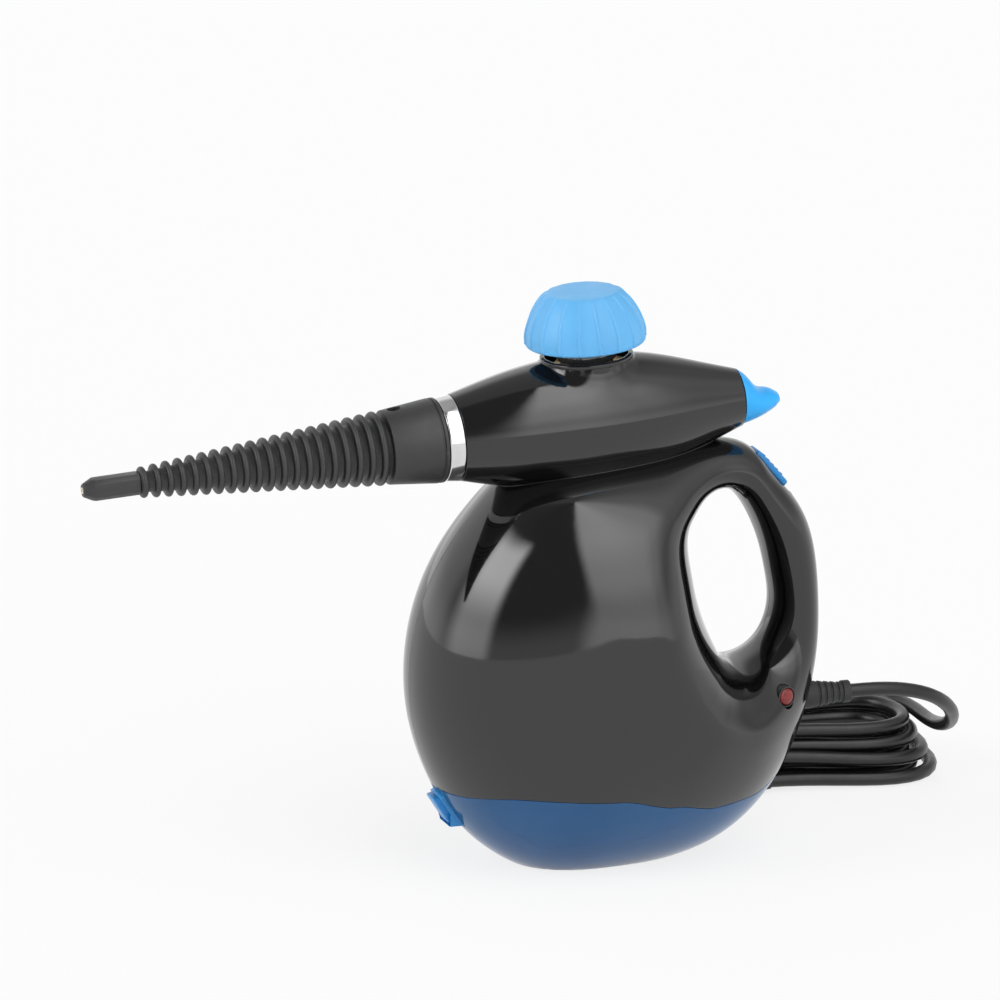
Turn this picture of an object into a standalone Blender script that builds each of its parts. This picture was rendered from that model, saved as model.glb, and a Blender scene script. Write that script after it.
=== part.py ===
"""Handheld steam cleaner: ball-shaped housing with a finger hole, ribbed nozzle and a detachable base bowl.

World frame: the nozzle points along -X, +Z is up, Y is the width, and the origin is the middle of the
flat foot. The fuselage on top of the ball is pitched nose-down. Everything that lines up with it is
built in the frame of the empty "fuselage_axis", whose X runs from the nozzle to the tail.
All lengths are metres, and every table whose name ends in "shares" holds plain fractions.
"""

import math

import bmesh
import bpy
import numpy as np
from mathutils import Matrix, Vector
from mathutils.bvhtree import BVHTree

# General clearances and walls
GAP = 0.0003
WALL = 0.0025
OVERRUN = 0.004
MERGE = 0.000004
SMOOTH_ANGLE = math.radians(40)

# Ball body, seen from the side
BODY_LENGTH = 0.181
BODY_FRONT_SHARE = 0.42
BODY_FRONT = BODY_LENGTH * BODY_FRONT_SHARE
BODY_HEIGHT = 0.176
BODY_HALF_WIDTH = 0.064
FLOOR_WALL = 0.003
BODY_MIDDLE_SHARES = (0.50, 0.50)
BALL_FULLNESS = 2.3

# Finger hole and the ball's slimmer back beside it
HOLE_MIDDLE_SHARES = (0.783, 0.6733)
HOLE_WIDTH_SHARE = 0.215
HOLE_WIDTH = BODY_LENGTH * HOLE_WIDTH_SHARE
HOLE_HEIGHT_SHARE = 0.4432
HOLE_HEIGHT = BODY_HEIGHT * HOLE_HEIGHT_SHARE
HOLE_ROLL = 0.030
HANDLE_HALF_WIDTH = 0.0165
TAPER_SHARE = 0.36
TAPER_LENGTH_SHARES = (0.50, 1.00)
TAPER_HEIGHT_SHARES = (0.33, 0.60)

# Places on each section of the body from the hole to the outline, closer together near the hole
SECTION_SHARES = (0.0, 0.03, 0.12, 0.28, 0.52, 0.76, 0.935, 1.0)
SPOKES = 30

# Side outline of the body from the back of the handle over the top, as shares of length and height
BODY_OUTLINE_SHARES = (
    (1.000, 0.557), (0.989, 0.722), (0.947, 0.840), (0.879, 0.928), (0.806, 0.996),
    (0.640, 1.010), (0.430, 1.000), (0.265, 0.962), (0.177, 0.895), (0.088, 0.778),
    (0.022, 0.625), (0.000, 0.455), (0.028, 0.284), (0.122, 0.102), (0.282, -0.017),
    (0.464, -0.034), (0.696, 0.009), (0.862, 0.136), (0.950, 0.290), (0.990, 0.426),
)

# Finger hole outline at the same stations, as shares of the hole's width and height from its middle
HOLE_OUTLINE_SHARES = (
    (0.482, -0.180), (0.443, -0.020), (0.363, 0.150), (0.228, 0.316), (0.070, 0.433),
    (-0.105, 0.485), (-0.295, 0.470), (-0.450, 0.402), (-0.552, 0.322), (-0.577, 0.222),
    (-0.548, 0.109), (-0.508, -0.006), (-0.446, -0.122), (-0.372, -0.224), (-0.295, -0.314),
    (-0.203, -0.402), (-0.070, -0.471), (0.090, -0.486), (0.264, -0.432), (0.412, -0.322),
)

# How much each station is handle rather than ball
HANDLE_SHARES = (
    1.0, 1.0, 1.0, 0.95, 0.70, 0.25, 0.05, 0.0, 0.0, 0.0,
    0.0, 0.0, 0.0, 0.0, 0.0, 0.0, 0.03, 0.12, 0.45, 0.85,
)

# Fuselage, a turned body along its own pitched axis
FUSELAGE_RISE = 0.0140
FUSELAGE_Z = BODY_HEIGHT + FUSELAGE_RISE
FUSELAGE_PITCH = math.radians(3.4)
FUSELAGE_RADIUS = 0.0277
FUSELAGE_FRONT_SHARE = 0.3105
FUSELAGE_FRONT = BODY_LENGTH * FUSELAGE_FRONT_SHARE
FUSELAGE_BACK_SHARE = 0.3840
FUSELAGE_BACK = BODY_LENGTH * FUSELAGE_BACK_SHARE
FRONT_WALL = 0.004
FUSELAGE_SIDES = 18
FUSELAGE_RADIUS_SHARES = (0.665, 0.782, 0.884, 0.955, 0.996, 0.994, 0.958, 0.880, 0.752, 0.600, 0.450)

# Filler neck and its axis along the fuselage
CAP_ALONG = 0.0042
NECK_TOP = 0.0282
NECK_RIM_RADIUS = 0.0198
NECK_FLARE_RADIUS = 0.0290
NECK_FLARE_DEPTH = 0.0170
WELL_RADIUS = 0.0178
WELL_FLOOR = 0.0195
WELL_FLOOR_THICKNESS = 0.0030

# Seam between housing and base bowl, heights as shares of the body height at shares of its length
SEAM_SHARES = (
    (-0.10, 0.197), (0.05, 0.201), (0.20, 0.220), (0.42, 0.211), (0.56, 0.182),
    (0.67, 0.162), (0.78, 0.167), (0.89, 0.197), (1.10, 0.206),
)
SEAM_STEPS = 30

# Inner plates carried by the housing
FLOOR_PLATE_SHARE = 0.2301
FLOOR_PLATE_Z = BODY_HEIGHT * FLOOR_PLATE_SHARE
PLATE_THICKNESS = 0.0025
FRAME_PLATE_DROP = 0.0445

# Housing screws along Y
BOSS_RADIUS = 0.0042
SCREW_PILOT_RADIUS = 0.0016
SCREW_SHANK_RADIUS = 0.0013
SCREW_HEAD_RADIUS = 0.0030
SCREW_HEAD_HEIGHT = 0.0022
SCREW_WELL_RADIUS = 0.0033
SCREW_SEAT_Y = 0.0060
SCREW_DEPTH = 0.0110
SCREW_PLACE_SHARES = ((0.125, 0.345), (0.150, 0.700), (0.740, 0.380), (0.945, 0.640))

# Boiler, turned about the filler axis
BOILER_RADIUS_SHARE = 0.1768
BOILER_RADIUS = BODY_LENGTH * BOILER_RADIUS_SHARE
BOILER_FLOOR_ROOM = 0.0225
BOILER_BOTTOM = FUSELAGE_Z - FLOOR_PLATE_Z - BOILER_FLOOR_ROOM
BOILER_RIM = 0.0420
BOILER_WALL = 0.0025
BOILER_CORNER = 0.0080
BOILER_FLANGE_WIDTH = 0.0050
BOILER_FLANGE_RADIUS = BOILER_RADIUS + BOILER_FLANGE_WIDTH
BOILER_FLANGE_THICKNESS = 0.0025
BOILER_GASKET = 0.0015
LID_RISE = 0.0080
BOILER_NECK_RADIUS = 0.0110
BOILER_NECK_BORE = 0.0088
BOILER_NECK_TOP = 0.0262
BOILER_SIDES = 20
BOLT_COUNT = 4
BOLT_RADIUS = 0.0016
BOLT_HEAD_RADIUS = 0.0028
BOLT_HEAD_HEIGHT = 0.0024
BOLT_RING_INSET = 0.0026
BOLT_TURN = math.radians(45)
HEATER_TUBE = 0.0035
HEATER_RISE = 0.0160
HEATER_LEAD = 0.0080
HEATER_OPENING = math.radians(40)
HEATER_STEPS = 22
THERMOSTAT_RADIUS = 0.0080
THERMOSTAT_CAN_RADIUS = 0.0062
THERMOSTAT_RIM = 0.0030
THERMOSTAT_HEIGHT = 0.0080
FUSE_RADIUS = 0.0024
FUSE_LENGTH = 0.0180
CONTROL_OFFSET = 0.0120

# Neck nut
NUT_HEIGHT = 0.0050
NUT_RADIUS = 0.0160

# Filler cap, heights along the filler axis from the fuselage axis
CAP_BOTTOM = 0.0333
CAP_HEIGHT = 0.0224
CAP_RADIUS = 0.0255
CAP_TOP_RADIUS = 0.0146
CAP_WALL = 0.0024
CAP_LIP = 0.0012
CAP_FLUTES = 18
CAP_FLUTE_DEPTH = 0.0008
CAP_DOME_STEPS = 5
CAP_DOME_FULLNESS = 1.5
CAP_SKIRT = 0.0028
CAP_SLEEVE_WALL = 0.0017
CAP_TRAVEL = 0.0030
PLUG_FLANGE_RADIUS = 0.0140
PLUG_FLANGE_THICKNESS = 0.0026
PLUG_THREAD_RADIUS = 0.0084
PLUG_THREAD_DEPTH = 0.0160
PLUG_THREAD_TURNS = 3
PLUG_THREAD_RELIEF = 0.0008
PLUG_HUB_RADIUS = 0.0070
PLUG_CHAMBER_RADIUS = 0.0052
PLUG_SEAT_RADIUS = 0.0026
GASKET_THICKNESS = 0.0020
GASKET_RADIUS = 0.0124
WASHER_THICKNESS = 0.0008
CAP_SPRING_RADIUS = 0.0112
CAP_SPRING_WIRE = 0.0005
RELIEF_HEAD_RADIUS = 0.0048
RELIEF_HEAD_THICKNESS = 0.0020
RELIEF_STEM_RADIUS = 0.0020
RELIEF_GUIDE_RADIUS = 0.0012
RELIEF_SPRING_RADIUS = 0.0032
RELIEF_SPRING_WIRE = 0.0004
RELIEF_NUT_THICKNESS = 0.0024
RELIEF_TRAVEL = 0.0015
SPRING_COILS = 4
SPRING_STEPS = 6

# Chrome ring, spout and nozzle, distances forward from the middle of the fuselage axis
RING_RADIUS = 0.0186
RING_WIDTH = 0.0067
RING_ROUNDING = 0.0008
SPOUT_RADIUS = 0.0120
SPOUT_BORE = 0.0080
SPOUT_FLANGE_RADIUS = 0.0160
SPOUT_FLANGE_THICKNESS = 0.0030
SPOUT_LENGTH = 0.0330
SEAL_WIDTH = 0.0024
SEAL_DEPTH = 0.0013
SEAL_FROM_END = 0.0085
COLLAR_RADIUS = 0.0181
COLLAR_LENGTH = 0.0233
COLLAR_GROOVE_WIDTH = 0.0010
COLLAR_GROOVE_DEPTH = 0.0007
COLLAR_LIP = 0.0014
SOCKET_DEPTH = 0.0270
RIB_COUNT = 20
RIBBED_LENGTH = 0.1080
RIB_BACK_RADIUS = 0.0158
RIB_FRONT_RADIUS = 0.0067
RIB_BACK_DEPTH = 0.0034
RIB_FRONT_DEPTH = 0.0024
RIB_WIDTH_SHARE = 0.46
RIB_SIDES = 16
NOZZLE_BORE = 0.0019
SNAP_RADIUS = 0.0026
SNAP_HEIGHT = 0.0052
SNAP_TRAVEL = 0.0022
SNAP_FROM_COLLAR_FRONT = 0.0050
TIP_LENGTH = 0.0245
TIP_WIDTH = 0.0090
TIP_CHAMFER = 0.0016
TIP_CONE_LENGTH = 0.0080
TIP_END_RADIUS = 0.0027
TIP_SPIGOT_RADIUS = 0.0034
TIP_SPIGOT_LENGTH = 0.0080
TIP_BORE = 0.0012
JET_RADIUS = 0.0016
JET_LENGTH = 0.0040
JET_PROUD = 0.0003
JET_BORE = 0.0006

# Steam valve and pipe
VALVE_ALONG_SHARE = 0.1740
VALVE_ALONG = BODY_LENGTH * VALVE_ALONG_SHARE
VALVE_RADIUS = 0.0065
VALVE_HEIGHT = 0.0240
VALVE_NECK_SHARE = 0.8
VALVE_CAP_HEIGHT = 0.0040
VALVE_STEM_RADIUS = 0.0016
VALVE_STEM_RISE = 0.0095
VALVE_STEM_DEPTH = 0.0120
VALVE_HEAD_RADIUS = 0.0038
VALVE_HEAD_THICKNESS = 0.0018
VALVE_TRAVEL = 0.0024
PIPE_RADIUS = 0.0025
PIPE_SIDE = 0.0118
PIPE_RISE = 0.0060

# Steam trigger at the tail
TRIGGER_PIVOT_INSET = 0.0095
TRIGGER_PIVOT_ALONG = FUSELAGE_BACK - TRIGGER_PIVOT_INSET
TRIGGER_PIVOT_DROP = 0.0060
TRIGGER_SPLIT = 0.0006
TRIGGER_SWING = math.radians(5)
TRIGGER_LENGTH = 0.0176
TRIGGER_HALF_WIDTH = 0.0120
TRIGGER_HALF_HEIGHT = 0.0122
TRIGGER_SIDES = 16
TRIGGER_TONGUE_WIDTH = 0.0090
TRIGGER_TONGUE_HEIGHT = 0.0050
TRIGGER_EYE_RADIUS = 0.0036
TRIGGER_PIN_RADIUS = 0.0015
TRIGGER_PIN_HALF_LENGTH = 0.0130
TRIGGER_FORK_SLOT = 0.0024
TRIGGER_ARM_THICKNESS = 0.0022
TAIL_WALL = 0.0020
TRIGGER_SPRING_RADIUS = 0.0028
TRIGGER_SPRING_WIRE = 0.0004
TRIGGER_SPRING_FROM_PIVOT = 0.0140

# Trigger sections from the split to the tip: length share, top share, bottom share, width share
TRIGGER_SECTION_SHARES = (
    (0.00, 1.00, -0.95, 1.00), (0.20, 0.78, -0.88, 0.96), (0.38, 0.46, -0.79, 0.90),
    (0.55, 0.28, -0.69, 0.82), (0.72, 0.23, -0.57, 0.70), (0.87, 0.10, -0.44, 0.54),
    (1.00, -0.10, -0.26, 0.26),
)

# Lock slider on the back of the handle
SLIDER_PLACE_SHARES = (0.8669, 0.9142)
SLIDER_SLOPE = math.radians(49)
SLIDER_LENGTH = 0.0200
SLIDER_WIDTH = 0.0110
SLIDER_PROUD = 0.0015
SLIDER_SUNK = 0.0016
SLIDER_TRAVEL = 0.0050
SLIDER_ROUNDING = 0.0012
SLIDER_RIDGES = 5
SLIDER_RIDGE_HEIGHT = 0.0005
SLIDER_RIDGE_WIDTH = 0.0010
SLIDER_BED = 0.0050

# Pilot lamp on the near side
LAMP_PLACE_SHARES = (0.8140, 0.3920)
LAMP_YAW = math.radians(22)
LAMP_RADIUS = 0.0036
LAMP_BEZEL = 0.0010
LAMP_PROUD = 0.0010
LAMP_BEZEL_PROUD = 0.0004
LAMP_DEPTH = 0.0060
LAMP_HOLDER_LENGTH = 0.0090
LAMP_BOSS_WALL = 0.0018

# Cord entry at the back
CORD_ENTRY_SHARE = 0.3466
CORD_ENTRY_Z = BODY_HEIGHT * CORD_ENTRY_SHARE
CORD_DIAMETER = 0.0060
RELIEF_SLEEVE_RADIUS = 0.0060
RELIEF_SLEEVE_TIP = 0.0042
RELIEF_SLEEVE_LENGTH = 0.0170
RELIEF_COLLAR_WIDTH = 0.0035
RELIEF_COLLAR_RADIUS = 0.0048
RELIEF_FLANGE_RADIUS = 0.0080
RELIEF_FLANGE_THICKNESS = 0.0020
CORD_TAIL_LENGTH = 0.0150
CLAMP_LENGTH = 0.0080
CLAMP_WIDTH = 0.0180
CLAMP_BAR = 0.0030
CLAMP_BACK = 0.0045
TERMINAL_LENGTH = 0.0160
TERMINAL_WIDTH = 0.0240
TERMINAL_HEIGHT = 0.0110
TERMINAL_X = 0.0300
TERMINAL_Y = 0.0250

# Base latch at the front
LATCH_HEIGHT = 0.0158
LATCH_WIDTH = 0.0150
LATCH_PROUD = 0.0006
LATCH_STEP = 0.0029
LATCH_LEDGE = 0.0022
LATCH_TOP_DROP = 0.0022
LATCH_LEAN_SHARE = 0.82
LATCH_SUNK = 0.0086
LATCH_BELOW_SEAM = 0.0008
LATCH_TRAVEL = 0.0022
LATCH_ROUNDING = 0.0010
LATCH_BACK_WALL = 0.0020
LATCH_SPRING_RADIUS = 0.0026
LATCH_SPRING_WIRE = 0.0004
LATCH_SPRING_ROOM = 0.0045

# Hank of the cord behind the body
HANK_X = 0.1050
HANK_Y = 0.0930
HANK_HALF_LENGTH = 0.0660
HANK_END_PITCH = 0.0078
HANK_INNER_HALF_WIDTH = 0.0340
HANK_WIDTH_PITCH = 0.0190
HANK_WAIST_SHARE = 0.60
HANK_LAYERS = 4
HANK_LAYER_RISE = 0.0066
HANK_TURNS = 1.5
HANK_CLIMB = 0.5
HANK_LAST_TURNS = 2.0
HANK_STEPS = 20
HANK_TIE_LIFT = 0.0016
TIE_THICKNESS = 0.0010
TIE_WIDTH = 0.0050
TIE_ROOM = 0.0024
TAIL_LEAD = 0.0190
TAIL_TURN_RADIUS = 0.0340
TAIL_TURN_STEPS = 7
TAIL_RUN = 0.0200
FREE_HANDLE_OUT = 0.0520
FREE_HANDLE_IN = 0.0480
FREE_STEPS = 14
CORD_RADIUS = CORD_DIAMETER / 2
PLUG_BODY_LENGTH = 0.0340
PLUG_BODY_WIDTH = 0.0300
PLUG_BODY_HEIGHT = 0.0240
PLUG_SLEEVE_LENGTH = 0.0180
PLUG_SLEEVE_RADIUS = 0.0052
PLUG_PIN_RADIUS = 0.0024
PLUG_PIN_LENGTH = 0.0190
PLUG_PIN_SPACING = 0.0190
PLUG_PIN_SOCKET = 0.0060
PLUG_ROUNDING = 0.0050

COLLECTION_NAME = "handheld_steam_cleaner"


def clear_scene():
    for item in list(bpy.data.objects):
        bpy.data.objects.remove(item, do_unlink=True)


def make_collection(name):
    collection = bpy.data.collections.new(name)
    bpy.context.scene.collection.children.link(collection)
    return collection


def material(name, color, roughness, metallic=0.0, transmission=0.0):
    made = bpy.data.materials.new(name)
    made.use_nodes = True
    shader = made.node_tree.nodes["Principled BSDF"]
    shader.inputs["Base Color"].default_value = (*color, 1.0)
    shader.inputs["Roughness"].default_value = roughness
    shader.inputs["Metallic"].default_value = metallic
    shader.inputs["Transmission Weight"].default_value = transmission
    made.diffuse_color = (*color, 1.0)
    return made


def make_materials():
    return {
        "gloss_black": material("gloss_black_plastic", (0.012, 0.012, 0.014), 0.12),
        "matte_black": material("matte_black_plastic", (0.030, 0.030, 0.031), 0.50),
        "chrome": material("chrome_plate", (0.80, 0.80, 0.82), 0.10, 1.0),
        "cap_blue": material("sky_blue_plastic", (0.13, 0.45, 0.83), 0.38),
        "blue": material("bright_blue_plastic", (0.02, 0.28, 0.80), 0.30),
        "bowl_blue": material("clear_blue_plastic", (0.03, 0.16, 0.62), 0.10, 0.0, 0.6),
        "red": material("red_lens", (0.75, 0.02, 0.02), 0.15, 0.0, 0.3),
        "aluminium": material("cast_aluminium", (0.62, 0.62, 0.64), 0.35, 1.0),
        "steel": material("bright_steel", (0.60, 0.60, 0.62), 0.25, 1.0),
        "brass": material("turned_brass", (0.75, 0.55, 0.24), 0.25, 1.0),
        "rubber": material("black_rubber", (0.02, 0.02, 0.02), 0.70),
        "silicone": material("pale_silicone", (0.72, 0.40, 0.30), 0.60),
        "inner": material("grey_plastic", (0.20, 0.20, 0.21), 0.45),
        "cream": material("cream_ceramic", (0.70, 0.64, 0.50), 0.50),
        "cord": material("cord_pvc", (0.015, 0.015, 0.016), 0.38),
    }


def make_frame(name, parent, local):
    frame = bpy.data.objects.new(name, None)
    bpy.context.scene.collection.objects.link(frame)
    frame.parent = parent
    frame.matrix_local = local
    bpy.context.view_layer.update()
    return frame


class Workshop:
    """Holds the collections, materials and frames that every part function uses."""

    def __init__(self):
        self.parts = make_collection(COLLECTION_NAME)
        self.cutters = make_collection("cutters")
        self.mats = make_materials()
        self.world = make_frame("world_axes", None, Matrix.Identity(4))
        lifted = Matrix.Translation((0, 0, FUSELAGE_Z))
        self.fuselage = make_frame("fuselage_axis", None, lifted @ Matrix.Rotation(-FUSELAGE_PITCH, 4, "Y"))
        self.filler = make_frame("filler_axis", self.fuselage, Matrix.Translation((CAP_ALONG, 0, 0)))
        self.nose = make_frame("nose_axis", self.fuselage, Matrix.Rotation(-math.pi / 2, 4, "Y"))

    def add(self, name, data, frame, local=None, group=None):
        made = bpy.data.objects.new(name, data)
        (group or self.parts).objects.link(made)
        made.parent = frame
        made.matrix_local = local or Matrix.Identity(4)
        bpy.context.view_layer.update()
        return made

    def tool(self, name, data, frame, local=None):
        made = self.add(name, data, frame, local, self.cutters)
        made.hide_render = True
        made.display_type = "WIRE"
        return made


def mesh_from(bm, name):
    bmesh.ops.recalc_face_normals(bm, faces=bm.faces)
    mesh = bpy.data.meshes.new(name)
    bm.to_mesh(mesh)
    bm.free()
    return mesh


def block_mesh(name, size, centre=(0, 0, 0), rounding=0.0):
    bm = bmesh.new()
    bmesh.ops.create_cube(bm, size=1.0)
    bmesh.ops.scale(bm, vec=size, verts=bm.verts)
    if rounding:
        bmesh.ops.bevel(bm, geom=bm.edges, offset=rounding, segments=2, profile=0.5, affect="EDGES")
    bmesh.ops.translate(bm, vec=centre, verts=bm.verts)
    return mesh_from(bm, name)


def turned_mesh(name, profile, sides, closed):
    """Profile points are (radius, height), from the top down the outer side; closed for a bored shape."""
    bm = bmesh.new()
    corners = [bm.verts.new((radius, 0, height)) for radius, height in profile]
    pairs = list(zip(corners, corners[1:]))
    if closed:
        pairs.append((corners[-1], corners[0]))
    for first, second in pairs:
        bm.edges.new((first, second))
    mesh = bpy.data.meshes.new(name)
    bm.to_mesh(mesh)
    bm.free()
    carrier = bpy.data.objects.new(name, mesh)
    bpy.context.scene.collection.objects.link(carrier)
    screw = carrier.modifiers.new("turn", "SCREW")
    screw.steps = sides
    screw.render_steps = sides
    screw.use_merge_vertices = True
    screw.merge_threshold = 1e-6
    bpy.context.view_layer.update()
    view = carrier.evaluated_get(bpy.context.evaluated_depsgraph_get())
    solid = bpy.data.meshes.new_from_object(view)
    bpy.data.objects.remove(carrier)
    bm = bmesh.new()
    bm.from_mesh(solid)
    return mesh_from(bm, name)


def rod_mesh(name, radius, bottom, top, sides=16):
    return turned_mesh(name, ((0, top), (radius, top), (radius, bottom), (0, bottom)), sides, False)


def tube_mesh(name, radius, bore, bottom, top, sides=16):
    profile = ((radius, top), (radius, bottom), (bore, bottom), (bore, top))
    return turned_mesh(name, profile, sides, True)


def drop_slivers(bm):
    """Removes the doubled or dangling faces that an exact cut can leave along an edge."""
    extra = {None}
    while extra:
        extra = set()
        for edge in bm.edges:
            if len(edge.link_faces) > 2:
                for face in edge.link_faces:
                    if all(len(other.link_faces) == 1 for other in face.edges if other is not edge):
                        extra.add(face)
        seen = {}
        for face in bm.faces:
            twin = seen.setdefault(frozenset(face.verts), face)
            if twin is not face:
                extra.update((face, twin))
        if extra:
            bmesh.ops.delete(bm, geom=list(extra), context="FACES")


def bake(target):
    bpy.context.view_layer.update()
    view = target.evaluated_get(bpy.context.evaluated_depsgraph_get())
    mesh = bpy.data.meshes.new_from_object(view)
    bm = bmesh.new()
    bm.from_mesh(mesh)
    bmesh.ops.remove_doubles(bm, verts=bm.verts, dist=MERGE)
    bmesh.ops.dissolve_degenerate(bm, dist=MERGE, edges=bm.edges)
    drop_slivers(bm)
    bm.to_mesh(mesh)
    bm.free()
    target.modifiers.clear()
    target.data = mesh


def carve(target, operation, tool, keep=False):
    modifier = target.modifiers.new(operation.lower(), "BOOLEAN")
    modifier.operation = operation
    modifier.solver = "EXACT"
    modifier.object = tool
    bake(target)
    if not keep:
        bpy.data.objects.remove(tool)
    return target


def carve_all(shop, target, tools):
    """Cuts every tool from the target in one exact step."""
    group = bpy.data.collections.new("cut_together")
    shop.cutters.children.link(group)
    for tool in tools:
        group.objects.link(tool)
    modifier = target.modifiers.new("cut_together", "BOOLEAN")
    modifier.operation = "DIFFERENCE"
    modifier.solver = "EXACT"
    modifier.operand_type = "COLLECTION"
    modifier.collection = group
    bake(target)
    for tool in tools:
        bpy.data.objects.remove(tool)
    bpy.data.collections.remove(group)
    return target


def duplicate(shop, source, name):
    made = bpy.data.objects.new(name, source.data.copy())
    shop.parts.objects.link(made)
    made.parent = source.parent
    made.matrix_local = source.matrix_local.copy()
    bpy.context.view_layer.update()
    return made


def finish(made, mat, smooth=True):
    made.data.materials.clear()
    made.data.materials.append(mat)
    if made.type == "MESH":
        for face in made.data.polygons:
            face.material_index = 0
        if smooth:
            made.data.shade_smooth()
            made.data.set_sharp_from_angle(angle=SMOOTH_ANGLE)
    return made


def closed_curve(points, count):
    """Smooth closed curve through the points, read at count even steps of its parameter."""
    points = np.array(points, dtype=float)
    total = len(points)
    spread = []
    for step in range(count):
        place = step * total / count
        index = int(place)
        part = place - index
        before, here, after, beyond = (points[(index + shift) % total] for shift in (-1, 0, 1, 2))
        spread.append(0.5 * (
            2 * here + (after - before) * part
            + (2 * before - 5 * here + 4 * after - beyond) * part ** 2
            + (3 * here - before - 3 * after + beyond) * part ** 3
        ))
    return np.array(spread)


def moved_inward(curve, distance):
    """Moves a closed anticlockwise curve towards its inside."""
    ahead = np.roll(curve, -1, axis=0) - np.roll(curve, 1, axis=0)
    normal = np.stack((-ahead[:, 1], ahead[:, 0]), axis=1)
    return curve + distance * normal / np.linalg.norm(normal, axis=1)[:, None]


def body_point(share):
    return (share[0] * BODY_LENGTH - BODY_FRONT, share[1] * BODY_HEIGHT)


def body_rings(inset):
    """Outer outline, hole outline and handle weight at every spoke, moved in by the wall."""
    outer = closed_curve([body_point(share) for share in BODY_OUTLINE_SHARES], SPOKES)
    hole = body_point(HOLE_MIDDLE_SHARES)
    hole_points = [(hole[0] + x * HOLE_WIDTH, hole[1] + z * HOLE_HEIGHT) for x, z in HOLE_OUTLINE_SHARES]
    inner = closed_curve(hole_points, SPOKES)
    weight = closed_curve([(value, 0) for value in HANDLE_SHARES], SPOKES)[:, 0]
    return moved_inward(outer, inset), moved_inward(inner, -inset), np.clip(weight, 0, 1)


def ball_half_width(place, outline, middle, widest):
    """Half width of the ball at a point of the middle plane: full in the middle, closed at the outline."""
    offset = place - middle
    reach = outline - middle
    angles = np.arctan2(reach[:, 1], reach[:, 0])
    order = np.argsort(angles)
    radii = np.linalg.norm(reach, axis=1)
    angle = math.atan2(offset[1], offset[0])
    limit = np.interp(angle, angles[order], radii[order], period=2 * math.pi)
    ratio = min(np.linalg.norm(offset) / limit, 1.0)
    return widest * (1 - back_taper(place)) * math.sqrt(max(1 - ratio ** BALL_FULLNESS, 0))


def eased(value, start, end):
    """From 0 at the start to 1 at the end without a kink."""
    share = min(max((value - start) / (end - start), 0.0), 1.0)
    return share * share * (3 - 2 * share)


def back_taper(place):
    """Share of its half width that the ball loses at a point, most beside the finger hole."""
    front, low = body_point((TAPER_LENGTH_SHARES[0], TAPER_HEIGHT_SHARES[0]))
    back, high = body_point((TAPER_LENGTH_SHARES[1], TAPER_HEIGHT_SHARES[1]))
    return TAPER_SHARE * eased(place[0], front, back) * eased(place[1], low, high)


def ring_body_mesh(name, inset):
    """Ball and handle as one loft round the finger hole: a closed section on every spoke."""
    outer, inner, weight = body_rings(inset)
    middle = np.array(body_point(BODY_MIDDLE_SHARES))
    walk = [(share, -1) for share in SECTION_SHARES] + [(share, 1) for share in SECTION_SHARES[-2:0:-1]]
    bm = bmesh.new()
    sections = []
    for spoke in range(SPOKES):
        span = outer[spoke] - inner[spoke]
        reach = np.linalg.norm(span)
        section = []
        for share, side in walk:
            place = inner[spoke] + share * span
            roll = math.sqrt(max(1 - (1 - min(share * reach / HOLE_ROLL, 1)) ** 2, 0))
            ball = roll * ball_half_width(place, outer, middle, BODY_HALF_WIDTH - inset)
            grip = 2 * (HANDLE_HALF_WIDTH - inset) * math.sqrt(share * (1 - share))
            width = (1 - weight[spoke]) * ball + weight[spoke] * grip
            if share in (0.0, 1.0):
                width = 0
            section.append(bm.verts.new((place[0], side * width, place[1])))
        sections.append(section)
    for spoke in range(SPOKES):
        here = sections[spoke]
        there = sections[(spoke + 1) % SPOKES]
        for step in range(len(walk)):
            after = (step + 1) % len(walk)
            bm.faces.new((here[step], here[after], there[after], there[step]))
    return mesh_from(bm, name)


def fuselage_radius(along):
    """Radius of the fuselage at a distance behind the middle of its axis."""
    stations = np.linspace(-FUSELAGE_FRONT, FUSELAGE_BACK, len(FUSELAGE_RADIUS_SHARES))
    return FUSELAGE_RADIUS * float(np.interp(along, stations, FUSELAGE_RADIUS_SHARES))


def fuselage_mesh(name, inset, front, back):
    stations = np.linspace(front, back, len(FUSELAGE_RADIUS_SHARES))
    profile = [(fuselage_radius(place) - inset, -place) for place in stations]
    profile = [(0, -front)] + profile + [(0, -back)]
    return turned_mesh(name, profile, FUSELAGE_SIDES, False)


def neck_mesh(name):
    """Raised filler neck: a flare that comes out of the fuselage and ends in a flat rim."""
    steps = 4
    flare = []
    for step in range(steps + 1):
        share = step / steps
        radius = NECK_RIM_RADIUS + (NECK_FLARE_RADIUS - NECK_RIM_RADIUS) * share ** 2
        flare.append((radius, NECK_TOP - GAP - NECK_FLARE_DEPTH * share))
    profile = [(0, NECK_TOP)] + [(NECK_RIM_RADIUS - GAP, NECK_TOP)] + flare + [(0, NECK_TOP - NECK_FLARE_DEPTH)]
    return turned_mesh(name, profile, FUSELAGE_SIDES, False)


def seam_curve():
    places = [body_point(share) for share in SEAM_SHARES]
    xs = np.linspace(places[0][0], places[-1][0], SEAM_STEPS)
    heights = []
    for x in xs:
        index = min(max(np.searchsorted([p[0] for p in places], x) - 1, 0), len(places) - 2)
        first, second = places[index], places[index + 1]
        part = (x - first[0]) / (second[0] - first[0])
        blend = part * part * (3 - 2 * part)
        heights.append(first[1] + (second[1] - first[1]) * blend)
    return list(zip(xs, heights))


def seam_height(x):
    curve = seam_curve()
    return float(np.interp(x, [p[0] for p in curve], [p[1] for p in curve]))


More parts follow.
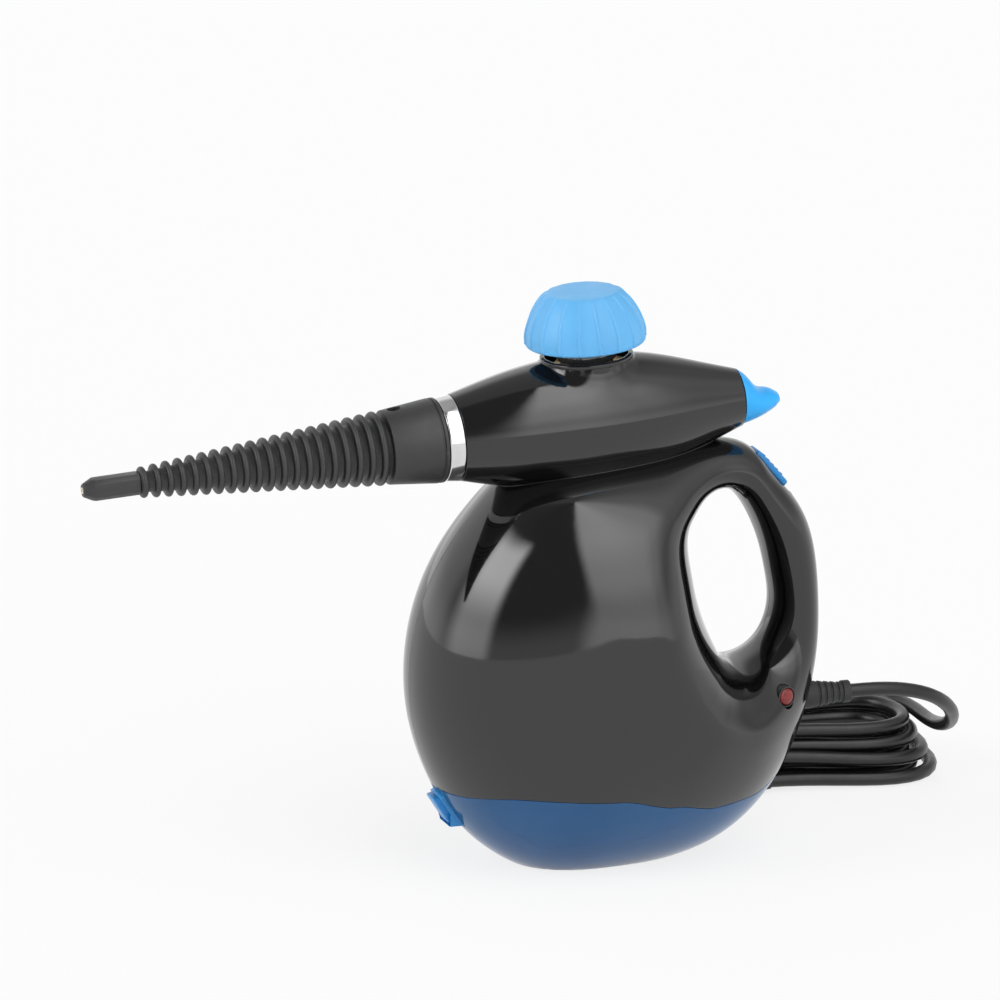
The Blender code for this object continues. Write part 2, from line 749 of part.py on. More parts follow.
def region_mesh(name, lower, upper, y_low, y_high):
    """Solid between two height curves over the same X stations and between two Y planes."""
    bm = bmesh.new()
    sides = []
    for y in (y_low, y_high):
        low = [bm.verts.new((x, y, z)) for x, z in lower]
        high = [bm.verts.new((x, y, z)) for x, z in upper]
        sides.append((low, high))
    count = len(lower)
    for low, high in sides:
        bm.faces.new(low + high[::-1])
    for index in range(count - 1):
        for row in (0, 1):
            near = sides[0][row]
            far = sides[1][row]
            bm.faces.new((near[index], near[index + 1], far[index + 1], far[index]))
    for index in (0, count - 1):
        near_low, near_high = sides[0][0][index], sides[0][1][index]
        far_low, far_high = sides[1][0][index], sides[1][1][index]
        bm.faces.new((near_low, far_low, far_high, near_high))
    bmesh.ops.triangulate(bm, faces=bm.faces)
    return mesh_from(bm, name)


def along_y(place):
    """Frame whose Z runs along +Y through a point of the middle plane."""
    return Matrix.Translation((place[0], 0, place[1])) @ Matrix.Rotation(-math.pi / 2, 4, "X")


def screw_places():
    return [body_point(share) for share in SCREW_PLACE_SHARES]


def slider_frame(form):
    """Frame of the lock slider on the surface: X down the back of the handle, Z out of it."""
    out = Vector((math.sin(SLIDER_SLOPE), 0, math.cos(SLIDER_SLOPE)))
    x, z = body_point(SLIDER_PLACE_SHARES)
    start = Vector((x, 0, z)) - 2 * SLIDER_BED * out
    return surface_frame(form, start, out) @ Matrix.Rotation(-math.pi / 2, 4, "Z")


def outer_form(shop):
    form = shop.tool("outer_form", ring_body_mesh("outer_form", 0.0), shop.world)
    tilt = Matrix.Rotation(-math.pi / 2, 4, "Y")
    body = fuselage_mesh("fuselage_form", 0.0, -FUSELAGE_FRONT, FUSELAGE_BACK)
    carve(form, "UNION", shop.tool("fuselage_form", body, shop.fuselage, tilt))
    carve(form, "UNION", shop.tool("neck_form", neck_mesh("neck_form"), shop.filler))
    return form


def inner_form(shop):
    """Hollow of the housing: the body and fuselage less their walls, bosses, beds and the neck's floor."""
    form = shop.tool("inner_form", ring_body_mesh("inner_form", WALL), shop.world)
    tilt = Matrix.Rotation(-math.pi / 2, 4, "Y")
    hollow = fuselage_mesh("fuselage_hollow", WALL, FRONT_WALL - FUSELAGE_FRONT, FUSELAGE_BACK - WALL)
    carve(form, "UNION", shop.tool("fuselage_hollow", hollow, shop.fuselage, tilt))
    neck = rod_mesh("neck_block", NECK_RIM_RADIUS, WELL_FLOOR - WELL_FLOOR_THICKNESS, NECK_TOP + OVERRUN, 20)
    carve(form, "DIFFERENCE", shop.tool("neck_block", neck, shop.filler))
    return form


def add_beds(shop, form, places):
    """Leaves solid material inside the wall for screws, slider, lamp and cord entry."""
    reach = BODY_HALF_WIDTH + OVERRUN
    for place in screw_places():
        boss = rod_mesh("screw_boss", BOSS_RADIUS, -reach, reach, 8)
        carve(form, "DIFFERENCE", shop.tool("screw_boss", boss, shop.world, along_y(place)))
    size = (SLIDER_LENGTH + 2 * SLIDER_TRAVEL + OVERRUN, SLIDER_WIDTH + OVERRUN, SLIDER_BED * 2)
    bed = block_mesh("slider_bed", size)
    carve(form, "DIFFERENCE", shop.tool("slider_bed", bed, shop.world, places["slider"]))
    boss = rod_mesh("lamp_boss", LAMP_RADIUS + LAMP_BEZEL + LAMP_BOSS_WALL, -LAMP_DEPTH, OVERRUN, 16)
    carve(form, "DIFFERENCE", shop.tool("lamp_boss", boss, shop.world, places["lamp"]))
    gland = rod_mesh("gland_boss", RELIEF_FLANGE_RADIUS + WALL, -WALL, OVERRUN, 16)
    carve(form, "DIFFERENCE", shop.tool("gland_boss", gland, shop.world, places["entry"]))
    return form


def surface_frame(form, start, direction):
    """Frame on the outer surface where a ray from inside leaves it: Z points along the ray."""
    tree = BVHTree.FromObject(form, bpy.context.evaluated_depsgraph_get())
    ray = Vector(direction).normalized()
    hit = tree.ray_cast(Vector(start), ray)[0]
    side = Vector((0, 0, 1)).cross(ray).normalized()
    up = ray.cross(side)
    turn = Matrix((side, up, ray)).transposed().to_4x4()
    return Matrix.Translation(hit) @ turn


def lamp_frame(form):
    direction = (math.sin(LAMP_YAW), -math.cos(LAMP_YAW), 0)
    x, z = body_point(LAMP_PLACE_SHARES)
    return surface_frame(form, (x, 0, z), direction)


def entry_frame(form):
    start = (body_point(HOLE_MIDDLE_SHARES)[0] + HOLE_WIDTH / 4, 0, CORD_ENTRY_Z)
    return surface_frame(form, start, (1, 0, 0))


def housing_cutters(shop, places):
    """Openings in the housing's wall: neck well, spout, tail, slider track, lamp, cord entry and screws."""
    tools = []

    def cut(name, mesh, frame, local=None):
        tools.append(shop.tool(name, mesh, frame, local))

    cut("neck_well", rod_mesh("neck_well", WELL_RADIUS, WELL_FLOOR, NECK_TOP + OVERRUN, 24), shop.filler)
    low = WELL_FLOOR - WELL_FLOOR_THICKNESS - OVERRUN
    cut("neck_hole", rod_mesh("neck_hole", BOILER_NECK_RADIUS + GAP, low, WELL_FLOOR + OVERRUN, 24), shop.filler)
    front = FUSELAGE_FRONT - FRONT_WALL - OVERRUN
    cut("spout_hole", rod_mesh("spout_hole", SPOUT_RADIUS + GAP, front, FUSELAGE_FRONT + OVERRUN, 20), shop.nose)
    rear_radius = fuselage_radius(FUSELAGE_BACK) - TAIL_WALL
    rear_low = -FUSELAGE_BACK - OVERRUN
    cut("tail_hole", rod_mesh("tail_hole", rear_radius, rear_low, 2 * WALL - FUSELAGE_BACK, 20), shop.nose)
    size = (SLIDER_LENGTH + SLIDER_TRAVEL + 2 * GAP, SLIDER_WIDTH + 2 * GAP, SLIDER_BED)
    centre = (SLIDER_TRAVEL / 2, 0, SLIDER_BED / 2 - SLIDER_SUNK - GAP)
    cut("slider_track", block_mesh("slider_track", size, centre), shop.world, places["slider"])
    hole = rod_mesh("lamp_hole", LAMP_RADIUS + LAMP_BEZEL + GAP, -LAMP_DEPTH - OVERRUN, OVERRUN, 20)
    cut("lamp_hole", hole, shop.world, places["lamp"])
    hole = rod_mesh("gland_hole", RELIEF_SLEEVE_RADIUS + GAP, -2 * WALL - OVERRUN, OVERRUN, 20)
    cut("gland_hole", hole, shop.world, places["entry"])
    seat = rod_mesh("gland_seat", RELIEF_FLANGE_RADIUS + GAP, -4 * WALL - OVERRUN, -2 * WALL, 16)
    cut("gland_seat", seat, shop.world, places["entry"])
    far = BODY_HALF_WIDTH + OVERRUN
    for place in screw_places():
        profile = (
            (0, far), (SCREW_WELL_RADIUS, far), (SCREW_WELL_RADIUS, SCREW_SEAT_Y),
            (SCREW_PILOT_RADIUS, SCREW_SEAT_Y), (SCREW_PILOT_RADIUS, -SCREW_DEPTH - GAP),
            (0, -SCREW_DEPTH - GAP),
        )
        cut("screw_hole", turned_mesh("screw_hole", profile, 8, False), shop.world, along_y(place))
    return tools


def make_housing(shop, outer, hollow, places):
    """Both shells from one wall, parted on the middle plane and cut along the seam of the base."""
    shell = shop.tool("housing_wall", outer.data.copy(), shop.world)
    carve(shell, "DIFFERENCE", hollow, True)
    carve_all(shop, shell, housing_cutters(shop, places))
    seam = [(x, z + GAP / 2) for x, z in seam_curve()]
    deep = [(x, -BODY_HEIGHT) for x, z in seam]
    far = BODY_HALF_WIDTH + OVERRUN
    for name, side in (("left_shell", -1), ("right_shell", 1)):
        half = duplicate(shop, shell, name)
        size = (2 * BODY_LENGTH, far, 3 * BODY_HEIGHT)
        centre = (0, side * (GAP / 2 - far / 2), BODY_HEIGHT)
        other = shop.tool("other_side", block_mesh("other_side", size, centre), shop.world)
        below = shop.tool("below_seam", region_mesh("below_seam", deep, seam, -far, far), shop.world)
        carve_all(shop, half, [other, below])
        keep_largest(half)
        finish(half, shop.mats["gloss_black"])
    bpy.data.objects.remove(shell)


def keep_largest(target):
    """Drops slivers that a cut may leave beside the main solid."""
    bm = bmesh.new()
    bm.from_mesh(target.data)
    bm.verts.ensure_lookup_table()
    seen = set()
    groups = []
    for start in bm.verts:
        if start.index in seen:
            continue
        stack = [start]
        group = []
        seen.add(start.index)
        while stack:
            corner = stack.pop()
            group.append(corner)
            for edge in corner.link_edges:
                other = edge.other_vert(corner)
                if other.index not in seen:
                    seen.add(other.index)
                    stack.append(other)
        groups.append(group)
    groups.sort(key=len)
    for group in groups[:-1]:
        bmesh.ops.delete(bm, geom=group, context="VERTS")
    bm.to_mesh(target.data)
    bm.free()


def make_base(shop, outer):
    """Bowl below the seam with a flat foot, open at the top."""
    bowl = duplicate(shop, outer, "base_bowl")
    hollow = shop.tool("bowl_hollow", ring_body_mesh("bowl_hollow", WALL), shop.world)
    size = (2 * BODY_LENGTH, 2 * BODY_LENGTH, 2 * FLOOR_WALL)
    carve(hollow, "DIFFERENCE", shop.tool("floor_slab", block_mesh("floor_slab", size), shop.world))
    pocket = latch_pocket(shop, LATCH_BACK_WALL)
    carve(hollow, "DIFFERENCE", pocket)
    carve(bowl, "DIFFERENCE", hollow)
    seam = [(x, z - GAP / 2) for x, z in seam_curve()]
    floor = [(x, 0) for x, z in seam]
    far = BODY_HALF_WIDTH + OVERRUN
    region = region_mesh("bowl_region", floor, seam, -far, far)
    carve(bowl, "INTERSECT", shop.tool("bowl_region", region, shop.world))
    carve(bowl, "DIFFERENCE", latch_pocket(shop, 0.0))
    keep_largest(bowl)
    return finish(bowl, shop.mats["bowl_blue"])


def latch_place(shift=0.0):
    """Front surface of the bowl on the middle plane, at the middle height of the latch or a shift above it."""
    outline = closed_curve([body_point(share) for share in BODY_OUTLINE_SHARES], SPOKES * 4)
    front = outline[outline[:, 0] < 0]
    front = front[front[:, 1] < BODY_HEIGHT / 2]
    order = np.argsort(front[:, 1])
    seam = seam_height(-BODY_FRONT)
    middle = seam - LATCH_BELOW_SEAM - LATCH_HEIGHT / 2 + shift
    return float(np.interp(middle, front[order, 1], front[order, 0])), middle


def latch_slope():
    """How far the latch leans out for each metre up, nearly as far as the bowl's front."""
    x, z = latch_place()
    rise = LATCH_HEIGHT / 4
    higher, lower = (latch_place(shift)[0] for shift in (rise, -rise))
    return LATCH_LEAN_SHARE * (lower - higher) / (2 * rise)


def leaning(mesh, slope, drop):
    """Shears the outer half of a block so that its front follows the bowl and its top falls outwards."""
    for vertex in mesh.vertices:
        if vertex.co.x < 0:
            vertex.co.x -= slope * vertex.co.z
            vertex.co.z -= drop if vertex.co.z > 0 else 0
    return mesh


def latch_pocket(shop, extra):
    """Recess of the latch in the bowl's front, open at the front, with room for its travel and spring."""
    x, z = latch_place()
    depth = LATCH_SUNK + LATCH_TRAVEL + LATCH_SPRING_ROOM + extra
    length = depth + LATCH_PROUD + LATCH_STEP + LATCH_HEIGHT / 2
    size = (length, LATCH_WIDTH + 2 * (GAP + extra), LATCH_HEIGHT + 2 * (GAP + extra))
    centre = (x + depth - size[0] / 2, 0, z)
    return shop.tool("latch_pocket", block_mesh("latch_pocket", size, centre), shop.world)


def make_latch(shop):
    """Stepped block that is pressed in to free the bowl, with its spring behind it."""
    x, z = latch_place()
    size = (LATCH_PROUD + LATCH_SUNK, LATCH_WIDTH, LATCH_HEIGHT)
    centre = ((LATCH_SUNK - LATCH_PROUD) / 2, 0, 0)
    slope = latch_slope()
    lower = leaning(block_mesh("latch", size, centre, LATCH_ROUNDING), slope, LATCH_TOP_DROP)
    latch = shop.add("base_latch", lower, shop.world, Matrix.Translation((x, 0, z)))
    deep = LATCH_PROUD + LATCH_STEP + LATCH_SUNK / 2
    step = (deep, LATCH_WIDTH - 2 * LATCH_LEDGE, LATCH_HEIGHT - 2 * LATCH_ROUNDING)
    centre = (step[0] / 2 - LATCH_PROUD - LATCH_STEP, 0, 0)
    pad_mesh = leaning(block_mesh("latch_pad", step, centre, LATCH_ROUNDING / 2), slope, LATCH_TOP_DROP)
    pad = shop.tool("latch_pad", pad_mesh, shop.world, Matrix.Translation((x, 0, z)))
    carve(latch, "UNION", pad)
    finish(latch, shop.mats["blue"])
    start = LATCH_SUNK + GAP + LATCH_SPRING_WIRE
    end = LATCH_SUNK + LATCH_TRAVEL + LATCH_SPRING_ROOM - GAP - LATCH_SPRING_WIRE
    turn = Matrix.Translation((x, 0, z)) @ Matrix.Rotation(math.pi / 2, 4, "Y")
    spring(shop, "latch_spring", LATCH_SPRING_RADIUS, LATCH_SPRING_WIRE, start, end, shop.world, turn)
    return latch


def curve_tube(name, points, radius, resolution):
    data = bpy.data.curves.new(name, "CURVE")
    data.dimensions = "3D"
    data.bevel_depth = radius
    data.bevel_resolution = resolution
    data.use_fill_caps = True
    line = data.splines.new("POLY")
    line.points.add(len(points) - 1)
    for point, place in zip(line.points, points):
        point.co = (*place, 1.0)
    return data


def spring(shop, name, radius, wire, bottom, top, frame, local=None):
    steps = SPRING_COILS * SPRING_STEPS
    points = []
    for step in range(steps + 1):
        turn = 2 * math.pi * step / SPRING_STEPS
        height = bottom + (top - bottom) * step / steps
        points.append((radius * math.cos(turn), radius * math.sin(turn), height))
    made = shop.add(name, curve_tube(name, points, wire, 0), frame, local)
    made.data.materials.append(shop.mats["steel"])
    return made


def plate(shop, name, hollow, bottom, thickness):
    """Level plate that fills the housing's hollow with the usual gap all round."""
    made = shop.add(name, hollow.data.copy(), shop.world)
    size = (2 * BODY_LENGTH, 2 * BODY_LENGTH, thickness)
    slab = block_mesh("slab", size, (0, 0, bottom + thickness / 2))
    carve(made, "INTERSECT", shop.tool("slab", slab, shop.world))
    return made


def make_plates(shop, snug):
    """Floor plate that closes the housing, and the frame plate that carries the boiler's flange."""
    reach = BODY_HALF_WIDTH + OVERRUN
    floor = plate(shop, "floor_plate", snug, FLOOR_PLATE_Z, PLATE_THICKNESS)
    frame = shop.add("boiler_frame", snug.data.copy(), shop.world)
    size = (2 * BODY_LENGTH, 2 * BODY_LENGTH, PLATE_THICKNESS)
    slab = block_mesh("slab", size, (0, 0, -FRAME_PLATE_DROP - GAP - PLATE_THICKNESS / 2))
    carve(frame, "INTERSECT", shop.tool("slab", slab, shop.filler))
    bore = rod_mesh("frame_bore", BOILER_RADIUS + 2 * GAP, -BOILER_BOTTOM, 0, BOILER_SIDES)
    carve(frame, "DIFFERENCE", shop.tool("frame_bore", bore, shop.filler))
    for turn in bolt_turns():
        local = Matrix.Rotation(turn, 4, "Z") @ Matrix.Translation((bolt_ring(), 0, 0))
        bore = rod_mesh("frame_bolt_hole", BOLT_RADIUS + GAP, -BOILER_BOTTOM, 0, 8)
        carve(frame, "DIFFERENCE", shop.tool("frame_bolt_hole", bore, shop.filler, local))
    for made in (floor, frame):
        for place in screw_places():
            relief = rod_mesh("boss_relief", BOSS_RADIUS + GAP, -reach, reach, 8)
            carve(made, "DIFFERENCE", shop.tool("boss_relief", relief, shop.world, along_y(place)))
        keep_largest(made)
        finish(made, shop.mats["inner"])


def make_screws(shop):
    for index, place in enumerate(screw_places(), 1):
        profile = (
            (0, SCREW_SEAT_Y + GAP + SCREW_HEAD_HEIGHT),
            (SCREW_HEAD_RADIUS, SCREW_SEAT_Y + GAP + SCREW_HEAD_HEIGHT / 2),
            (SCREW_HEAD_RADIUS, SCREW_SEAT_Y + GAP),
            (SCREW_SHANK_RADIUS, SCREW_SEAT_Y + GAP),
            (SCREW_SHANK_RADIUS, SCREW_SHANK_RADIUS - SCREW_DEPTH),
            (0, -SCREW_DEPTH),
        )
        mesh = turned_mesh("housing_screw", profile, 8, False)
        made = shop.add(f"housing_screw_{index}", mesh, shop.world, along_y(place))
        finish(made, shop.mats["steel"])


def bolt_ring():
    return BOILER_FLANGE_RADIUS - BOLT_RING_INSET


def bolt_turns():
    return [BOLT_TURN + 2 * math.pi * index / BOLT_COUNT for index in range(BOLT_COUNT)]


def make_boiler(shop):
    """Pot with a flange, domed lid with the filler neck, gasket between them and the bolts through all."""
    inner = BOILER_RADIUS - BOILER_WALL
    flange_low = -FRAME_PLATE_DROP
    flange_top = flange_low + BOILER_FLANGE_THICKNESS
    pot = [(0, BOILER_WALL - BOILER_BOTTOM)]
    pot += corner(inner, BOILER_WALL - BOILER_BOTTOM, BOILER_CORNER - BOILER_WALL)[::-1]
    pot += [(inner, flange_top), (BOILER_FLANGE_RADIUS, flange_top), (BOILER_FLANGE_RADIUS, flange_low)]
    pot += [(BOILER_RADIUS, flange_low)] + corner(BOILER_RADIUS, -BOILER_BOTTOM, BOILER_CORNER)
    pot += [(0, -BOILER_BOTTOM)]
    made = shop.add("boiler_pot", turned_mesh("boiler_pot", pot, BOILER_SIDES, False), shop.filler)
    drill_bolts(shop, made)
    finish(made, shop.mats["aluminium"])

    gasket_low = flange_top + GAP
    gasket_top = gasket_low + BOILER_GASKET
    outer = bolt_ring() - BOLT_RADIUS - GAP
    mesh = tube_mesh("boiler_gasket", outer, inner + GAP, gasket_low, gasket_top, BOILER_SIDES)
    finish(shop.add("boiler_gasket", mesh, shop.filler), shop.mats["silicone"])

    low = gasket_top + GAP
    high = low + BOILER_FLANGE_THICKNESS
    crown = high + LID_RISE
    lid = [(BOILER_NECK_RADIUS, BOILER_NECK_TOP), (BOILER_NECK_RADIUS, crown)]
    lid += [(VALVE_ALONG - CAP_ALONG + VALVE_RADIUS / 2 - LID_RISE, crown), (inner, high)]
    lid += [(BOILER_FLANGE_RADIUS, high), (BOILER_FLANGE_RADIUS, low), (inner - BOILER_WALL, low)]
    lid += [(VALVE_ALONG - CAP_ALONG - LID_RISE, crown - BOILER_WALL), (BOILER_NECK_BORE, crown - BOILER_WALL)]
    lid += [(BOILER_NECK_BORE, BOILER_NECK_TOP)]
    made = shop.add("boiler_lid", turned_mesh("boiler_lid", lid, BOILER_SIDES, True), shop.filler)
    drill_bolts(shop, made)
    finish(made, shop.mats["aluminium"])

    bolt = (
        (0, high + GAP + BOLT_HEAD_HEIGHT), (BOLT_HEAD_RADIUS, high + GAP + BOLT_HEAD_HEIGHT),
        (BOLT_HEAD_RADIUS, high + GAP), (BOLT_RADIUS, high + GAP),
        (BOLT_RADIUS, flange_low - PLATE_THICKNESS - GAP), (0, flange_low - PLATE_THICKNESS - GAP),
    )
    for index, turn in enumerate(bolt_turns(), 1):
        local = Matrix.Rotation(turn, 4, "Z") @ Matrix.Translation((bolt_ring(), 0, 0))
        made = shop.add(f"boiler_bolt_{index}", turned_mesh("boiler_bolt", bolt, 8, False), shop.filler, local)
        finish(made, shop.mats["steel"])
    return crown


def corner(radius, bottom, rounding):
    """Quarter round from a side wall down to a bottom, as profile points."""
    steps = 2
    points = []
    for step in range(steps + 1):
        turn = math.pi / 2 * step / steps
        points.append((radius - rounding * (1 - math.cos(turn)), bottom + rounding * (1 - math.sin(turn))))
    return points


def drill_bolts(shop, made):
    for turn in bolt_turns():
        local = Matrix.Rotation(turn, 4, "Z") @ Matrix.Translation((bolt_ring(), 0, 0))
        hole = rod_mesh("bolt_hole", BOLT_RADIUS + GAP, -BOILER_BOTTOM / 2, OVERRUN, 8)
        carve(made, "DIFFERENCE", shop.tool("bolt_hole", hole, shop.filler, local))


def make_heater(shop):
    """Heating element: an open ring round the foot of the pot, its two ends turned down."""
    radius = BOILER_RADIUS + GAP + HEATER_TUBE
    height = HEATER_RISE - BOILER_BOTTOM
    points = []
    for step in range(HEATER_STEPS + 1):
        turn = HEATER_OPENING / 2 + (2 * math.pi - HEATER_OPENING) * step / HEATER_STEPS
        points.append((radius * math.cos(turn), radius * math.sin(turn), height))
    first = (points[0][0], points[0][1], height - HEATER_LEAD)
    last = (points[-1][0], points[-1][1], height - HEATER_LEAD)
    made = shop.add("heating_element", curve_tube("heating_element", [first] + points + [last], HEATER_TUBE, 1),
                    shop.filler)
    made.data.materials.append(shop.mats["steel"])


def make_pot_controls(shop):
    """Thermostat button and thermal fuse, both held against the bottom of the pot."""
    top = -BOILER_BOTTOM - GAP
    low = top - THERMOSTAT_HEIGHT
    profile = (
        (0, top), (THERMOSTAT_RADIUS, top), (THERMOSTAT_RADIUS, low + THERMOSTAT_RIM),
        (THERMOSTAT_CAN_RADIUS, low + THERMOSTAT_RIM), (THERMOSTAT_CAN_RADIUS, low), (0, low),
    )
    place = Matrix.Translation((CONTROL_OFFSET, 0, 0))
    made = shop.add("thermostat", turned_mesh("thermostat", profile, 16, False), shop.filler, place)
    finish(made, shop.mats["steel"])
    place = Matrix.Translation((-CONTROL_OFFSET, 0, top - FUSE_RADIUS)) @ Matrix.Rotation(math.pi / 2, 4, "X")
    half = FUSE_LENGTH / 2
    made = shop.add("thermal_fuse", rod_mesh("thermal_fuse", FUSE_RADIUS, -half, half, 12), shop.filler, place)
    finish(made, shop.mats["cream"])


def make_neck_nut(shop):
    """Hexagon nut on the boiler's neck in the filler well."""
    low = WELL_FLOOR + GAP
    nut = shop.add("neck_nut", rod_mesh("neck_nut", NUT_RADIUS, low, low + NUT_HEIGHT, 6), shop.filler)
    bore = rod_mesh("nut_bore", BOILER_NECK_RADIUS + GAP, low - OVERRUN, low + NUT_HEIGHT + OVERRUN, 24)
    carve(nut, "DIFFERENCE", shop.tool("nut_bore", bore, shop.filler))
    finish(nut, shop.mats["brass"])


def cap_heights():
    """Heights up the cap: gasket, washer, flange, hub and the cap's ceiling."""
    gasket = BOILER_NECK_TOP + GAP
    washer = gasket + GASKET_THICKNESS + GAP
    flange = washer + WASHER_THICKNESS + GAP
    flange_top = flange + PLUG_FLANGE_THICKNESS
    ceiling = CAP_BOTTOM + CAP_HEIGHT - CAP_WALL
    hub_top = ceiling - CAP_TRAVEL - 2 * GAP
    return gasket, washer, flange, flange_top, hub_top, ceiling


def make_cap_inside(shop):
    """Gasket, washer, threaded plug and the relief valve inside the plug."""
    gasket, washer, flange, flange_top, hub_top, ceiling = cap_heights()
    bore = PLUG_THREAD_RADIUS + GAP
    mesh = tube_mesh("cap_gasket", GASKET_RADIUS, bore, gasket, gasket + GASKET_THICKNESS)
    finish(shop.add("cap_gasket", mesh, shop.filler), shop.mats["silicone"])
    mesh = tube_mesh("cap_washer", GASKET_RADIUS, bore, washer, washer + WASHER_THICKNESS)
    finish(shop.add("cap_washer", mesh, shop.filler), shop.mats["steel"])

    bottom = gasket - PLUG_THREAD_DEPTH
    profile = [(PLUG_CHAMBER_RADIUS, hub_top), (PLUG_HUB_RADIUS, hub_top), (PLUG_HUB_RADIUS, flange_top)]
    profile += [(PLUG_FLANGE_RADIUS, flange_top), (PLUG_FLANGE_RADIUS, flange), (PLUG_THREAD_RADIUS, flange)]
    pitch = (PLUG_THREAD_DEPTH - OVERRUN) / PLUG_THREAD_TURNS
    for index in range(PLUG_THREAD_TURNS):
        crest = gasket - OVERRUN / 2 - pitch * index
        profile += [(PLUG_THREAD_RADIUS, crest), (PLUG_THREAD_RADIUS - PLUG_THREAD_RELIEF, crest - pitch / 2)]
    profile += [(PLUG_THREAD_RADIUS - PLUG_THREAD_RELIEF, bottom), (PLUG_SEAT_RADIUS, bottom)]
    profile += [(PLUG_SEAT_RADIUS, flange_top), (PLUG_CHAMBER_RADIUS, flange_top)]
    plug = shop.add("cap_plug", turned_mesh("cap_plug", profile, 16, True), shop.filler)
    finish(plug, shop.mats["inner"])

    seat = flange_top + GAP
    head_top = seat + RELIEF_HEAD_THICKNESS
    nut_low = hub_top - RELIEF_NUT_THICKNESS
    guide_top = nut_low + RELIEF_NUT_THICKNESS / 2
    profile = (
        (0, guide_top), (RELIEF_GUIDE_RADIUS, guide_top), (RELIEF_GUIDE_RADIUS, head_top),
        (RELIEF_HEAD_RADIUS, head_top), (RELIEF_HEAD_RADIUS, seat), (RELIEF_STEM_RADIUS, seat),
        (RELIEF_STEM_RADIUS, bottom), (0, bottom),
    )
    plunger = shop.add("relief_plunger", turned_mesh("relief_plunger", profile, 16, False), shop.filler)
    finish(plunger, shop.mats["brass"])
    mesh = tube_mesh("relief_nut", PLUG_CHAMBER_RADIUS - GAP, RELIEF_GUIDE_RADIUS + GAP, nut_low, hub_top, 16)
    finish(shop.add("relief_nut", mesh, shop.filler), shop.mats["brass"])
    low = head_top + GAP + RELIEF_SPRING_WIRE
    spring(shop, "relief_spring", RELIEF_SPRING_RADIUS, RELIEF_SPRING_WIRE, low,
           nut_low - GAP - RELIEF_SPRING_WIRE, shop.filler)
    low = flange_top + GAP + CAP_SPRING_WIRE
    high = ceiling - 3 * GAP - CAP_SPRING_WIRE
    spring(shop, "cap_spring", CAP_SPRING_RADIUS, CAP_SPRING_WIRE, low, high, shop.filler)


def cap_outer_profile(inset):
    """Points of the cap's dome from the flat top to the skirt, moved in by the wall."""
    points = []
    low = CAP_BOTTOM + CAP_LIP + CAP_SKIRT
    height = CAP_HEIGHT - CAP_LIP - CAP_SKIRT
    for step in range(CAP_DOME_STEPS + 1):
        turn = math.pi / 2 * step / CAP_DOME_STEPS
        out = math.sin(turn) ** (2 / CAP_DOME_FULLNESS)
        up = math.cos(turn) ** (2 / CAP_DOME_FULLNESS)
        radius = CAP_TOP_RADIUS + (CAP_RADIUS - CAP_TOP_RADIUS) * out
        points.append((radius - inset, low + height * up - inset))
    return points + [(CAP_RADIUS - inset, CAP_BOTTOM + CAP_LIP - inset)]


def make_cap_shell(shop):
    """Fluted cap: the dome's section swells in flutes, and a sleeve inside runs on the plug's hub."""
    ceiling = cap_heights()[-1]
    lobes = CAP_FLUTES * 3
    outer = cap_outer_profile(0.0)
    bm = bmesh.new()
    rings = []
    for index, (radius, height) in enumerate(outer):
        depth = CAP_FLUTE_DEPTH * (0 if index == 0 else 1)
        ring = []
        for step in range(lobes):
            turn = 2 * math.pi * step / lobes
            swell = abs(math.cos(CAP_FLUTES * turn / 2))
            reach = radius - depth * (1 - swell) ** 2
            ring.append(bm.verts.new((reach * math.cos(turn), reach * math.sin(turn), height)))
        rings.append(ring)
    ring = []
    for step in range(lobes):
        turn = 2 * math.pi * step / lobes
        reach = CAP_RADIUS - CAP_LIP
        ring.append(bm.verts.new((reach * math.cos(turn), reach * math.sin(turn), CAP_BOTTOM)))
    rings.append(ring)
    for upper, lower in zip(rings, rings[1:]):
        for step in range(lobes):
            after = (step + 1) % lobes
            bm.faces.new((upper[step], lower[step], lower[after], upper[after]))
    bm.faces.new(rings[0])
    bm.faces.new(rings[-1])
    cap = shop.add("cap_shell", mesh_from(bm, "cap_shell"), shop.filler)
    inner = [(0, ceiling)] + cap_outer_profile(CAP_WALL)
    last = inner[-1][0]
    inner += [(last, CAP_BOTTOM - OVERRUN), (0, CAP_BOTTOM - OVERRUN)]
    inner = [(radius, min(height, ceiling)) for radius, height in inner]
    inner = inner[:1] + inner[2:]
    hollow = shop.tool("cap_hollow", turned_mesh("cap_hollow", inner, 24, False), shop.filler)
    sleeve_bore = PLUG_HUB_RADIUS + GAP
    low = ceiling - CAP_HEIGHT / 2
    mesh = tube_mesh("cap_sleeve", sleeve_bore + CAP_SLEEVE_WALL, sleeve_bore, low, ceiling + CAP_WALL / 2, 24)
    carve(cap, "DIFFERENCE", hollow)
    carve(cap, "UNION", shop.tool("cap_sleeve", mesh, shop.filler))
    finish(cap, shop.mats["cap_blue"])


def nose_stations():
    """Distances forward from the middle of the fuselage axis to the nozzle's shoulders."""
    ring_back = FUSELAGE_FRONT + GAP
    ring_front = ring_back + RING_WIDTH
    collar_back = ring_front + GAP
    collar_front = collar_back + COLLAR_LENGTH
    barrel_front = collar_front + RIBBED_LENGTH
    tip_back = barrel_front + GAP
    return ring_back, ring_front, collar_back, collar_front, barrel_front, tip_back


